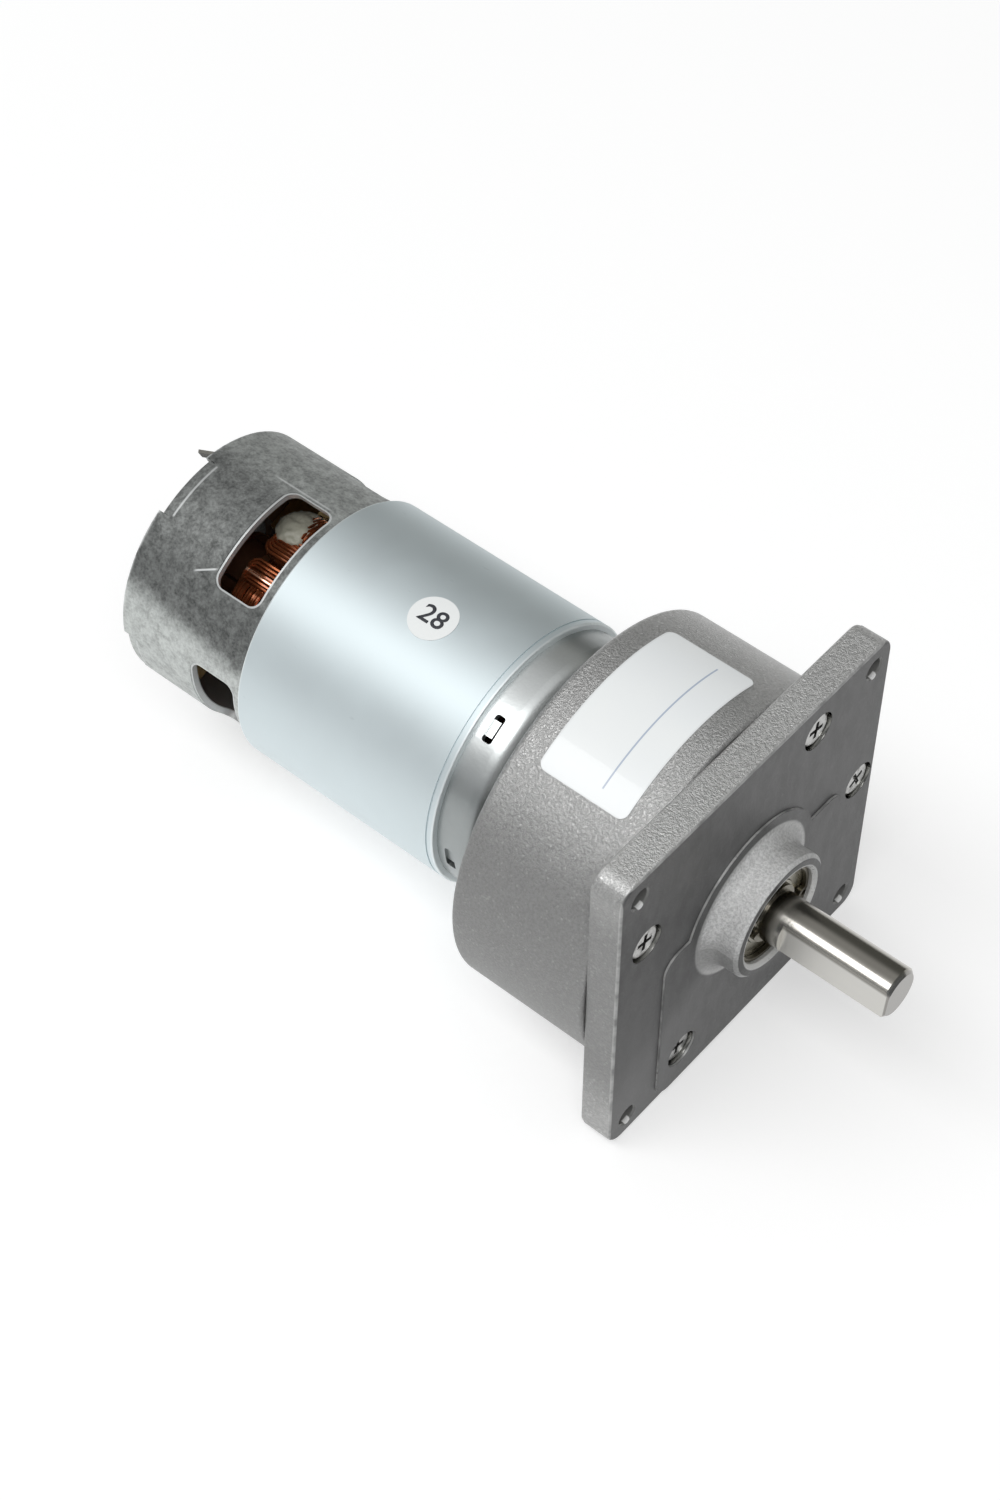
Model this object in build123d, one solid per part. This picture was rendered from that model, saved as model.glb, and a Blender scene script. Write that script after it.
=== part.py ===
from build123d import *
import os
from math import acos, atan2, cos, degrees, hypot, pi, radians, sin, tan

os.makedirs("parts", exist_ok=True)

# DC brushed gear motor, in millimetres.
# The origin is the centre of the flange's front face. +X runs out along the output shaft, +Z is up.
# Angles round the shaft are measured from +Y towards +Z.

# ---------------------------------------------------------------- fits
press_gap = 0.01
run_gap = 0.06
seat_gap = 0.05
end_float = 0.10

# ---------------------------------------------------------------- front flange
flange_side = 60.0
flange_thickness = 5.5
flange_corner_radius = 3.0
flange_edge_round = 0.5
flange_step = 0.15
flange_step_length = 0.8
boss_radius = 10.2
boss_foot_radius = 12.6
boss_height = 5.7
boss_rim_chamfer = 0.6
boss_mouth_chamfer = 0.5
pad_radius = 14.6
pad_height = 0.4
pad_arm_top = 4.2
pad_arm_left_inset = 10.5
pad_arm_right_inset = 8.5
corner_hole_inset = 4.0
corner_hole_radius = 1.65
corner_hole_chamfer = 0.25
spigot_wall = 2.2
spigot_length = 1.6
bore_lip_length = 0.8
bore_lip_inset = 1.0

# ---------------------------------------------------------------- flange screws (M3, cross recess)
screw_angles = (3.0, 61.2, 149.8, 237.5)
screw_inset_low = 4.3
screw_inset_high = 2.9
screw_radius = 1.5
screw_head_radius = 2.8
screw_head_height = 1.7
screw_head_round = 0.5
screw_length = 10.0
screw_recess_radius = 3.1
screw_recess_depth = 2.1
cross_width = 0.7
cross_depth = 1.1
cross_span = 3.1
cross_turn = 20.0
screw_post_radius = 3.5

# ---------------------------------------------------------------- gear housing
housing_overhang = 0.5
housing_wall = 2.9
housing_length = 24.0
housing_floor = 3.0
housing_edge_round = 1.2
housing_front_round = 0.6
motor_pad_radius = 20.0
motor_pad_height = 3.8

# ---------------------------------------------------------------- output shaft and its bearings
shaft_radius = 4.0
shaft_reach = 26.0
shaft_end_relief = 0.01
shaft_chamfer = 0.6
flat_depth = 1.0
flat_length = 18.0
flat_angle = 175.0
key_width = 2.0
key_height = 2.0
key_end_inset = 0.8
bearing_outer_radius = 8.0
bearing_width = 5.0
bearing_ring_wall = 1.15
bearing_rim_chamfer = 0.3
bearing_bore_chamfer = 0.2
bearing_balls = 9
ball_radius = 1.15
shield_thickness = 0.3
cage_back_length = 0.6
cage_half_thickness = 0.52
circlip_setback = 1.05
circlip_thickness = 0.7
circlip_groove_depth = 0.45
circlip_band = 1.0
circlip_mouth = 32.0
circlip_lug_radius = 1.15
circlip_lug_hole_radius = 0.5
circlip_lug_angle = -20.0
bearing_spacer_thickness = 0.6
snap_ring_thickness = 0.6
snap_ring_groove_depth = 0.4
snap_ring_band = 1.1
snap_ring_mouth = 40.0

# ---------------------------------------------------------------- gear train (three equal spur stages)
gear_wall_clearance = 1.66
pinion_teeth = 14
wheel_teeth = 44
pressure_angle = 20.0
pinion_addendum = 1.0
wheel_addendum = 0.88
dedendum = 1.25
tooth_thinning = 0.045
flank_steps = 5
flank_crowding = 1.5
stage_faces = (4.5, 5.0, 6.0)
stage_gap = 1.0
pinion_overrun = 0.3
wheel_web = 1.6
wheel_rim_wall = 1.8
wheel_hub_radius = 4.6
idler_a_angle = 270.0
idler_pin_radius = 1.5
idler_sleeve_radius = 2.5
pin_depth_front = 3.2
pin_depth_back = 4.5
gear_back_clearance = 0.6
pinion_passage_clearance = 1.0

# ---------------------------------------------------------------- motor can and flux ring
can_radius = 21.0
can_wall = 1.2
can_length = 70.2
can_edge_round = 2.6
can_rim_chamfer = 0.3
nose_radius = 8.75
nose_height = 4.4
nose_wall = 1.2
nose_shaft_clearance = 0.7
window_angle = 108.2
window_span = 52.0
window_back_margin = 14.7
window_length = 8.4
window_corner = 1.7
window_rim_width = 0.4
window_rim_depth = 0.15
notch_angle = 106.4
notch_span = 30.0
notch_depth = 2.0
quarter_turns = 4
lance_angles = (122.0, 186.5, 302.0, 6.5)
lance_length = 4.4
lance_width = 1.7
lance_setback = 4.4
lance_corner = 0.5
lance_tongue_depth = 0.5
lance_tongue_bite = 0.4
lance_tongue_length = 2.6
lance_tongue_width = 1.3
lance_tongue_lap = 0.1
ring_wall = 1.05
ring_setback = 6.7
ring_back_margin = 25.1
ring_seam = 0.4
ring_edge_round = 0.3
ring_groove_setback = 1.0
ring_groove_width = 0.3
ring_groove_depth = 0.2
motor_screw_inset = 5.3
motor_screw_radius = 2.0
motor_screw_head_radius = 3.5
motor_screw_head_height = 2.2
motor_screw_grip = 1.6
motor_screw_head_round = 0.7
motor_cross_span = 4.2
motor_screw_angles = (0.0, 180.0)

# ---------------------------------------------------------------- field magnets
magnet_thickness = 3.9
magnet_span = 128.0
magnet_front_setback = 10.0
magnet_back_inset = 1.7
magnet_angles = (18.2, 198.2)
clip_thickness = 0.6
clip_depth = 2.6
clip_end_inset = 5.25

# ---------------------------------------------------------------- armature
armature_shaft_radius = 2.5
pinion_seat_radius = 2.0
magnet_air_gap = 0.8
core_setback = 12.7
poles = 5
pole_angle = 72.0
stem_width = 4.6
core_hub_radius = 6.4
pole_shoe_thickness = 2.2
slot_mouth = 2.4
insulator_thickness = 0.8
insulator_inset = 0.35
coil_inner_radius = 7.2
coil_outer_inset = 2.5
coil_side_gap = 0.45
coil_stem_gap = 0.35
coil_reach_front = 7.0
coil_reach_back = 10.6
coil_end_thickness = 3.6
coil_edge_round = 1.2
coil_round_share = 0.25
putty_angle = 75.0
putty_span = 34.0
putty_length = 6.4
putty_overhang = 0.9
putty_height = 2.4
putty_round = 1.0
commutator_hub_radius = 4.2
commutator_radius = 6.2
commutator_length = 7.4
commutator_gap = 0.5
commutator_setback = 0.8
commutator_card_gap = 0.75
riser_height = 1.4
riser_thickness = 1.2
riser_span = 24.0
shaft_tail = 3.2
shaft_tail_chamfer = 0.4
armature_washer_radius = 4.8
armature_washer_thickness = 0.5
sleeve_wall = 1.2

# ---------------------------------------------------------------- brush gear and rear cover
brush_angles = (18.2, 198.2)
brush_width = 4.0
brush_depth = 4.0
brush_length = 7.0
brush_run_gap = 0.02
brush_slide_gap = 0.1
holder_wall = 0.5
holder_lift = 1.2
holder_end_inset = 2.0
holder_foot_length = 5.2
spring_wire = 0.25
spring_turns = 5
spring_radius = 1.35
card_thickness = 2.4
card_bore_radius = 8.6
cover_thickness = 1.0
cover_setback = 1.0
cover_ear_inset = 0.15
cover_cup_radius = 7.0
cover_cup_depth = 4.0
cover_cup_round = 0.9
cover_shaft_clearance = 0.9
terminal_angle = 74.0
terminal_inset = 2.5
terminal_tilt = 122.0
terminal_width = 3.0
terminal_thickness = 0.5
terminal_length = 6.0
terminal_bend = 28.0
terminal_knee = 1.2

# ---------------------------------------------------------------- stickers
label_angle = 95.5
label_span = 57.0
label_length = 15.0
label_back_margin = 4.6
label_corner = 1.4
sticker_thickness = 0.1
round_sticker_radius = 3.8
round_sticker_angle = 99.0
round_sticker_setback = 15.5

# ---------------------------------------------------------------- worked-out stations along X
flange_back = -flange_thickness
housing_radius = flange_side / 2 + housing_overhang
housing_back = flange_back - housing_length
corner_hole_pitch = flange_side - 2 * corner_hole_inset
cavity_floor = housing_back + housing_floor
cavity_radius = housing_radius - housing_wall
can_front = housing_back - motor_pad_height
can_back = can_front - can_length
can_inner_radius = can_radius - can_wall
magnet_inner_radius = can_inner_radius - magnet_thickness
core_radius = magnet_inner_radius - magnet_air_gap
coil_outer_radius = core_radius - coil_outer_inset
holder_end = can_inner_radius - holder_end_inset
terminal_radius = can_inner_radius - terminal_inset
motor_screw_circle = can_inner_radius - motor_screw_inset
ring_front = can_front - ring_setback
ring_back = can_back + ring_back_margin

circlip_front = boss_height - circlip_setback
circlip_back = circlip_front - circlip_thickness
front_bearing_front = circlip_back - seat_gap
front_bearing_back = front_bearing_front - bearing_width
rear_bearing_front = front_bearing_back - bearing_spacer_thickness - 2 * seat_gap
rear_bearing_back = rear_bearing_front - bearing_width
bore_floor = rear_bearing_back - seat_gap
hub_back = bore_floor - bore_lip_length
bore_radius = bearing_outer_radius + press_gap

first_back = cavity_floor + gear_back_clearance + end_float
first_front = first_back + stage_faces[0]
second_back = first_front + stage_gap
second_front = second_back + stage_faces[1]
third_back = second_front + stage_gap
third_front = third_back + stage_faces[2]

# The module is what the cavity leaves room for, with an idler's wheel beside the centre line: 0.5 here.
module_count = (pinion_teeth + wheel_teeth) / 2 + wheel_teeth / 2 + wheel_addendum
gear_module = (cavity_radius - gear_wall_clearance) / module_count
centre_distance = gear_module * (pinion_teeth + wheel_teeth) / 2
idler_b_angle = idler_a_angle + 60.0
pinion_tip_radius = gear_module * (pinion_teeth / 2 + pinion_addendum)

cover_back = can_back + cover_setback
cover_front = cover_back + cover_thickness
card_back = cover_front + seat_gap
card_front = card_back + card_thickness
commutator_back = card_front + commutator_card_gap
commutator_front = commutator_back + commutator_length
coil_back = commutator_front + commutator_setback
core_back = coil_back + coil_reach_back
core_front = can_front - core_setback
coil_front = core_front + coil_reach_front
magnet_front = can_front - magnet_front_setback
magnet_back = core_back + magnet_back_inset
shaft_tail_end = cover_back - cover_cup_depth - shaft_tail
armature_bore_radius = armature_shaft_radius + press_gap


# ---------------------------------------------------------------- helpers
def yz(x):
    """A sketch plane across the shaft at x, with its normal along +X."""
    return Plane.YZ.offset(x)


def polar(radius, angle):
    return radius * cos(radians(angle)), radius * sin(radians(angle))


def bar(outline, x_low, x_high):
    """A sketch in the Y-Z plane pulled from x_low to x_high."""
    return extrude(yz(x_low) * outline, x_high - x_low)


def disc(radius, x_low, x_high, at=(0.0, 0.0)):
    return bar(Pos(at[0], at[1]) * Circle(radius), x_low, x_high)


def tube(outer, inner, x_low, x_high, at=(0.0, 0.0)):
    return bar(Pos(at[0], at[1]) * (Circle(outer) - Circle(inner)), x_low, x_high)


def turned(points):
    """A solid of revolution about the X axis from (x, radius) points."""
    outline = make_face(Polyline(*[(x, radius) for x, radius in points], close=True))
    return revolve(outline, Axis.X)


def sector(outer, inner, mid_angle, span):
    """A ring's slice between two radii, span degrees wide."""
    half = radians(span / 2)
    middle = radians(mid_angle)

    def at(radius, angle):
        return radius * cos(angle), radius * sin(angle)

    low, high = middle - half, middle + half
    edges = [
        ThreePointArc(at(outer, low), at(outer, middle), at(outer, high)),
        Line(at(outer, high), at(inner, high)),
        ThreePointArc(at(inner, high), at(inner, middle), at(inner, low)),
        Line(at(inner, low), at(outer, low)),
    ]
    return make_face(edges)


def spun(shape, angle):
    """The shape turned about the shaft axis."""
    return Rot(X=angle) * shape


def edges_at_x(shape, x, tolerance=0.01):
    return [edge for edge in shape.edges() if all(abs(v.X - x) < tolerance for v in edge.vertices())]


def ring_edges(shape, x, radius, tolerance=0.02):
    """Full circles about the shaft axis at x with this radius."""
    found = shape.edges().filter_by(GeomType.CIRCLE)
    return [
        edge for edge in found
        if abs(edge.radius - radius) < tolerance
        and abs(edge.arc_center.X - x) < tolerance
        and hypot(edge.arc_center.Y, edge.arc_center.Z) < tolerance
    ]


nodes = {}


def keep(name, *solids):
    """Files one sub-part under its node name."""
    nodes[name] = Compound(children=[piece for solid in solids for piece in solid.solids()])


# ---------------------------------------------------------------- involute gears
def gear_outline(teeth, addendum, phase):
    """A closed involute outline with one tooth centred at phase degrees."""
    pitch = gear_module * teeth / 2
    base = pitch * cos(radians(pressure_angle))
    tip = pitch + addendum * gear_module
    root = pitch - dedendum * gear_module
    start = max(base, root)

    def spread(radius):
        turn = acos(min(1.0, base / radius))
        return tan(turn) - turn

    half_at_pitch = pi / (2 * teeth) - tooth_thinning / pitch / 2 + spread(pitch)

    def flank_point(radius, centre, side):
        angle = centre + side * (half_at_pitch - spread(radius))
        return radius * cos(angle), radius * sin(angle)

    def ring_point(radius, angle):
        return radius * cos(angle), radius * sin(angle)

    fractions = [(step / flank_steps) ** flank_crowding for step in range(flank_steps + 1)]
    radii = [start + (tip - start) * fraction for fraction in fractions]
    tip_half = half_at_pitch - spread(tip)
    root_half = half_at_pitch - spread(start)
    pitch_angle = 2 * pi / teeth
    edges = []
    for tooth in range(teeth):
        centre = radians(phase) + tooth * pitch_angle
        rising = [flank_point(radius, centre, -1) for radius in radii]
        falling = [flank_point(radius, centre, 1) for radius in reversed(radii)]
        root_in = ring_point(root, centre - root_half)
        root_out = ring_point(root, centre + root_half)
        gap_end = ring_point(root, centre + pitch_angle - root_half)
        gap_middle = ring_point(root, centre + pitch_angle / 2)
        if root < base:
            edges += [Line(root_in, rising[0]), Line(falling[-1], root_out)]
        edges += [
            Spline(*rising),
            ThreePointArc(rising[-1], ring_point(tip, centre), falling[0]),
            Spline(*falling),
            ThreePointArc(root_out, gap_middle, gap_end),
        ]
    return make_face(edges)


def pinion(x_low, x_high, phase):
    return bar(gear_outline(pinion_teeth, pinion_addendum, phase), x_low, x_high)


def wheel(x_low, x_high, phase, bore):
    """A wheel with a thinner web between rim and hub."""
    rim_radius = gear_module * (wheel_teeth / 2 - dedendum) - wheel_rim_wall
    blank = bar(gear_outline(wheel_teeth, wheel_addendum, phase), x_low, x_high)
    dish = (x_high - x_low - wheel_web) / 2
    relief = Circle(rim_radius) - Circle(wheel_hub_radius)
    blank -= bar(relief, x_low, x_low + dish)
    blank -= bar(relief, x_high - dish, x_high)
    return blank - disc(bore, x_low, x_high)


half_wheel_tooth = 180.0 / wheel_teeth
pin_a = polar(centre_distance, idler_a_angle)
pin_b = polar(centre_distance, idler_b_angle)
a_to_b = degrees(atan2(pin_b[1] - pin_a[1], pin_b[0] - pin_a[0]))


# ---------------------------------------------------------------- gearbox casting
def screw_points():
    """The four screws are unevenly spaced, to stand clear of the gears."""
    low = housing_radius - screw_inset_low
    high = housing_radius - screw_inset_high
    return [polar(radius, angle) for radius, angle in zip((low, high, high, low), screw_angles)]


def front_flange():
    square = RectangleRounded(flange_side, flange_side, flange_corner_radius)
    plate = bar(square, flange_back + flange_step_length, 0)
    plate = fillet(edges_at_x(plate, 0), flange_edge_round)
    # The parting line: behind it the plate is a little smaller.
    back_side = flange_side - 2 * flange_step
    back_square = RectangleRounded(back_side, back_side, flange_corner_radius - flange_step)
    back_plate = bar(back_square, flange_back, flange_back + flange_step_length)
    plate += fillet(edges_at_x(back_plate, flange_back), flange_edge_round)
    # The raised pad on the face: a round round the boss with an arm to each side.
    arm_bottom = -flange_side / 2 + 2 * flange_edge_round
    pad_arm_left = flange_side / 2 - pad_arm_left_inset
    pad_arm_right = flange_side / 2 - pad_arm_right_inset
    arm = Pos((pad_arm_right - pad_arm_left) / 2, (pad_arm_top + arm_bottom) / 2) * RectangleRounded(
        pad_arm_left + pad_arm_right, pad_arm_top - arm_bottom, flange_corner_radius
    )
    plate += bar(Circle(pad_radius) + arm, 0, pad_height)
    # The bearing boss: a cylinder with a hollow-curved foot.
    foot = boss_foot_radius - boss_radius
    profile = [
        Line((0, 0), (0, boss_foot_radius)),
        Line((0, boss_foot_radius), (pad_height, boss_foot_radius)),
        RadiusArc((pad_height, boss_foot_radius), (pad_height + foot, boss_radius), -foot),
        Line((pad_height + foot, boss_radius), (boss_height - boss_rim_chamfer, boss_radius)),
        Line((boss_height - boss_rim_chamfer, boss_radius), (boss_height, boss_radius - boss_rim_chamfer)),
        Line((boss_height, boss_radius - boss_rim_chamfer), (boss_height, 0)),
        Line((boss_height, 0), (0, 0)),
    ]
    plate += revolve(make_face(profile), Axis.X)
    # The hub behind the plate carries the rear bearing, and the spigot centres the housing.
    plate += disc(boss_radius, hub_back, flange_back)
    spigot_radius = cavity_radius - seat_gap
    spigot = tube(spigot_radius, spigot_radius - spigot_wall, flange_back - spigot_length, flange_back)
    for point in screw_points():
        spigot -= disc(screw_post_radius + 2 * seat_gap, flange_back - spigot_length, flange_back, point)
    plate += spigot
    # Bearing bore with its rear lip, mouth chamfer and circlip groove.
    plate -= turned([
        (hub_back, 0),
        (hub_back, bore_radius - bore_lip_inset),
        (bore_floor, bore_radius - bore_lip_inset),
        (bore_floor, bore_radius),
        (circlip_back, bore_radius),
        (circlip_back, bore_radius + circlip_groove_depth),
        (circlip_front, bore_radius + circlip_groove_depth),
        (circlip_front, bore_radius),
        (boss_height - boss_mouth_chamfer, bore_radius),
        (boss_height, bore_radius + boss_mouth_chamfer),
        (boss_height, 0),
    ])
    for point in screw_points():
        plate -= disc(screw_radius + 3 * seat_gap, flange_back, pad_height, point)
        plate -= disc(screw_recess_radius, -screw_recess_depth, pad_height, point)
    half = corner_hole_pitch / 2
    mouth_radius = corner_hole_radius + corner_hole_chamfer
    drill = turned([
        (flange_back, 0),
        (flange_back, corner_hole_radius),
        (-corner_hole_chamfer, corner_hole_radius),
        (0, mouth_radius),
        (0, 0),
    ])
    for y in (-half, half):
        for z in (-half, half):
            plate -= Pos(0, y, z) * drill
    for point in (pin_a, pin_b):
        plate -= disc(idler_pin_radius + press_gap, flange_back, flange_back + pin_depth_front, point)
    keep("front_flange", plate)


def flange_screws():
    head_back = -screw_recess_depth
    screws = []
    top = head_back + screw_head_height
    slot = Rectangle(cross_span, cross_width)
    cross = slot + Rot(0, 0, 90) * slot
    for angle, point in zip(screw_angles, screw_points()):
        shank = disc(screw_radius, head_back - screw_length, head_back, point)
        head = fillet(edges_at_x(disc(screw_head_radius, head_back, top, point), top), screw_head_round)
        head -= bar(Pos(*point) * Rot(0, 0, angle + cross_turn) * cross, top - cross_depth, top)
        screws.append(shank + head)
    keep("flange_screws", *screws)


def gear_housing():
    shell = disc(housing_radius, housing_back, flange_back)
    shell = fillet(ring_edges(shell, housing_back, housing_radius), housing_edge_round)
    shell = fillet(ring_edges(shell, flange_back, housing_radius), housing_front_round)
    shell -= disc(cavity_radius, cavity_floor, flange_back)
    shell += disc(motor_pad_radius, can_front, housing_back)
    for point in screw_points():
        post = disc(screw_post_radius, cavity_floor, flange_back, point)
        shell += post & disc(cavity_radius + housing_wall / 2, cavity_floor, flange_back)
        depth = screw_recess_depth + screw_length + seat_gap
        shell -= disc(screw_radius + press_gap, -depth, flange_back, point)
    # The motor's nose sits in a counterbore, and its pinion passes through the floor.
    shell -= disc(nose_radius + seat_gap, can_front, can_front + nose_height + end_float)
    shell -= disc(pinion_tip_radius + pinion_passage_clearance, can_front, cavity_floor)
    for angle in motor_screw_angles:
        point = polar(motor_screw_circle, angle)
        shell -= disc(motor_screw_radius + 3 * seat_gap, can_front, cavity_floor, point)
    for point in (pin_a, pin_b):
        shell -= disc(idler_pin_radius + press_gap, cavity_floor - pin_depth_back, cavity_floor, point)
    keep("gear_housing", shell)


# ---------------------------------------------------------------- output shaft group
def output_shaft():
    # The flatted end is turned a hair smaller than the bearing seats, so that they slide over it.
    flat_start = shaft_reach - flat_length
    end_radius = shaft_radius - shaft_end_relief
    shaft = disc(shaft_radius, third_back, flat_start) + disc(end_radius, flat_start, shaft_reach)
    shaft = chamfer(ring_edges(shaft, shaft_reach, end_radius), shaft_chamfer)
    flat = Pos(2 * shaft_radius - flat_depth, 0) * Rectangle(2 * shaft_radius, 4 * shaft_radius)
    shaft -= spun(bar(flat, flat_start, shaft_reach), flat_angle)
    groove_back = front_bearing_front + seat_gap
    groove = Circle(shaft_radius) - Circle(shaft_radius - snap_ring_groove_depth)
    shaft -= bar(groove, groove_back - seat_gap / 2, groove_back + snap_ring_thickness + seat_gap / 2)
    shaft -= key_block(press_gap)
    keep("output_shaft", shaft)


def key_block(grow=0.0):
    """The key, which stands half in the shaft and half in the gear."""
    outline = Pos(shaft_radius, 0) * Rectangle(key_height + 2 * grow, key_width + 2 * grow)
    return bar(outline, third_back + key_end_inset - grow, third_front - key_end_inset + grow)


def output_gear():
    phase = idler_b_angle + half_wheel_tooth
    blank = wheel(third_back, third_front, phase, shaft_radius + press_gap)
    hub = tube(wheel_hub_radius + key_height / 2, shaft_radius + press_gap, third_back, third_front)
    keep("output_gear", blank + hub - key_block(press_gap))
    keep("output_gear_key", key_block())


def snap_ring(name, band_inner, band_outer, x_low, x_high, mouth_angle, mouth, lugs):
    """An open retaining ring, with a drilled lug at each end where lugs is its radius and reach."""
    ring = Circle(band_outer) - Circle(band_inner)
    ring -= sector(2 * band_outer, band_inner / 2, mouth_angle, mouth)
    if lugs:
        for side in (-1, 1):
            lug_angle = mouth_angle + side * (mouth / 2 + degrees(circlip_lug_radius / band_inner))
            place = Pos(*polar(band_inner, lug_angle))
            ring += place * Circle(circlip_lug_radius) & Circle(band_outer)
            ring -= place * Circle(circlip_lug_hole_radius)
    keep(name, bar(ring, x_low, x_high))


def ball_bearing(prefix, x_back):
    """A shielded deep-groove ball bearing as rings, shields and a caged set of balls."""
    x_front = x_back + bearing_width
    middle = (x_back + x_front) / 2
    pitch_radius = (shaft_radius + bearing_outer_radius) / 2
    inner_land = shaft_radius + bearing_ring_wall
    outer_land = bearing_outer_radius - bearing_ring_wall
    groove = revolve(
        Plane.XY * Pos(middle, pitch_radius) * Circle(ball_radius + run_gap / 2), Axis.X
    )
    outer = tube(bearing_outer_radius, outer_land, x_back, x_front) - groove
    inner = tube(inner_land, shaft_radius + press_gap, x_back, x_front) - groove
    rim_edge = ring_edges(outer, x_front, bearing_outer_radius)
    keep(prefix + "_outer_ring", chamfer(rim_edge, bearing_rim_chamfer))
    bore_edge = ring_edges(inner, x_front, shaft_radius + press_gap)
    keep(prefix + "_inner_ring", chamfer(bore_edge, bearing_bore_chamfer))
    shields = []
    for x_low in (x_back + shield_thickness / 2, x_front - 1.5 * shield_thickness):
        shield = tube(outer_land - press_gap, inner_land + 2 * run_gap, x_low, x_low + shield_thickness)
        shields.append(shield)
    keep(prefix + "_shields", *shields)
    # The crown cage is a ring beside the balls, with its fingers reaching between them.
    step = 360.0 / bearing_balls
    half = cage_half_thickness
    cage_end = middle + ball_radius + cage_back_length
    cage = tube(pitch_radius + half, pitch_radius - half, middle - half, cage_end)
    balls = []
    for number in range(bearing_balls):
        y, z = polar(pitch_radius, number * step)
        pocket = Rot(number * step - 90, 0, 0) * Cylinder(ball_radius + press_gap, 3 * half)
        cage -= Pos(middle, y, z) * pocket
        balls.append(Pos(middle, y, z) * Sphere(ball_radius))
    keep(prefix + "_balls", *balls)
    keep(prefix + "_cage", cage)


def bearing_hardware():
    keep("bearing_spacer", tube(
        bearing_outer_radius - press_gap,
        bearing_outer_radius - bearing_ring_wall,
        rear_bearing_front + seat_gap,
        front_bearing_back - seat_gap,
    ))
    keep("output_gear_spacer", tube(
        shaft_radius + bearing_ring_wall,
        shaft_radius + press_gap,
        third_front + seat_gap,
        rear_bearing_back - seat_gap,
    ))
    mouth_angle = circlip_lug_angle - circlip_mouth / 2 - degrees(circlip_lug_radius / boss_radius)
    outer = bore_radius + circlip_groove_depth - seat_gap
    inner = bore_radius - circlip_band + circlip_groove_depth
    x_low = circlip_back + seat_gap / 2
    x_high = circlip_front - seat_gap / 2
    snap_ring("bore_circlip", inner, outer, x_low, x_high, mouth_angle, circlip_mouth, True)
    inner = shaft_radius - snap_ring_groove_depth + press_gap
    outer = inner + snap_ring_band
    x_low = front_bearing_front + seat_gap
    x_high = x_low + snap_ring_thickness
    snap_ring("shaft_snap_ring", inner, outer, x_low, x_high, flat_angle, snap_ring_mouth, False)


# ---------------------------------------------------------------- idlers
def idler(name, centre, wheel_back, wheel_front, pinion_front, wheel_phase, pinion_phase):
    """A compound gear: a wheel with its pinion, free to turn on a fixed pin."""
    bore = idler_pin_radius + run_gap
    blank = wheel(wheel_back, wheel_front, wheel_phase, bore)
    blank += pinion(wheel_front - wheel_web, pinion_front, pinion_phase)
    blank -= disc(bore, wheel_back, pinion_front)
    keep(name, Pos(0, *centre) * blank)


def pin_and_sleeves(letter, centre, gear_back, gear_front):
    pin_low = cavity_floor - pin_depth_back + end_float
    pin_high = flange_back + pin_depth_front - end_float
    keep("idler_pin_" + letter, disc(idler_pin_radius, pin_low, pin_high, centre))
    bore = idler_pin_radius + run_gap
    back = tube(idler_sleeve_radius, bore, cavity_floor + seat_gap, gear_back - end_float, centre)
    front = tube(idler_sleeve_radius, bore, gear_front + end_float, flange_back - seat_gap, centre)
    keep("idler_sleeves_" + letter, back, front)


def gear_train():
    front_a = second_front + pinion_overrun
    front_b = third_front + pinion_overrun
    idler("idler_gear_a", pin_a, first_back, first_front, front_a,
          idler_a_angle + 180 + half_wheel_tooth, a_to_b)
    idler("idler_gear_b", pin_b, second_back, second_front, front_b,
          a_to_b + 180 + half_wheel_tooth, idler_b_angle + 180)
    pin_and_sleeves("a", pin_a, first_back, front_a)
    pin_and_sleeves("b", pin_b, second_back, front_b)
    blank = pinion(first_back, first_front + pinion_overrun, idler_a_angle)
    blank -= disc(pinion_seat_radius + press_gap, first_back, first_front + pinion_overrun)
    keep("motor_pinion", blank)


# ---------------------------------------------------------------- motor shell
def radial_cutter(outline, angle):
    """A flat outline in X and the tangent direction, pushed outwards through the wall."""
    plane = Plane(origin=(0, 0, 0), x_dir=(1, 0, 0), z_dir=(0, 1, 0))
    return spun(extrude(plane * outline, 2 * can_radius), angle)


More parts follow.
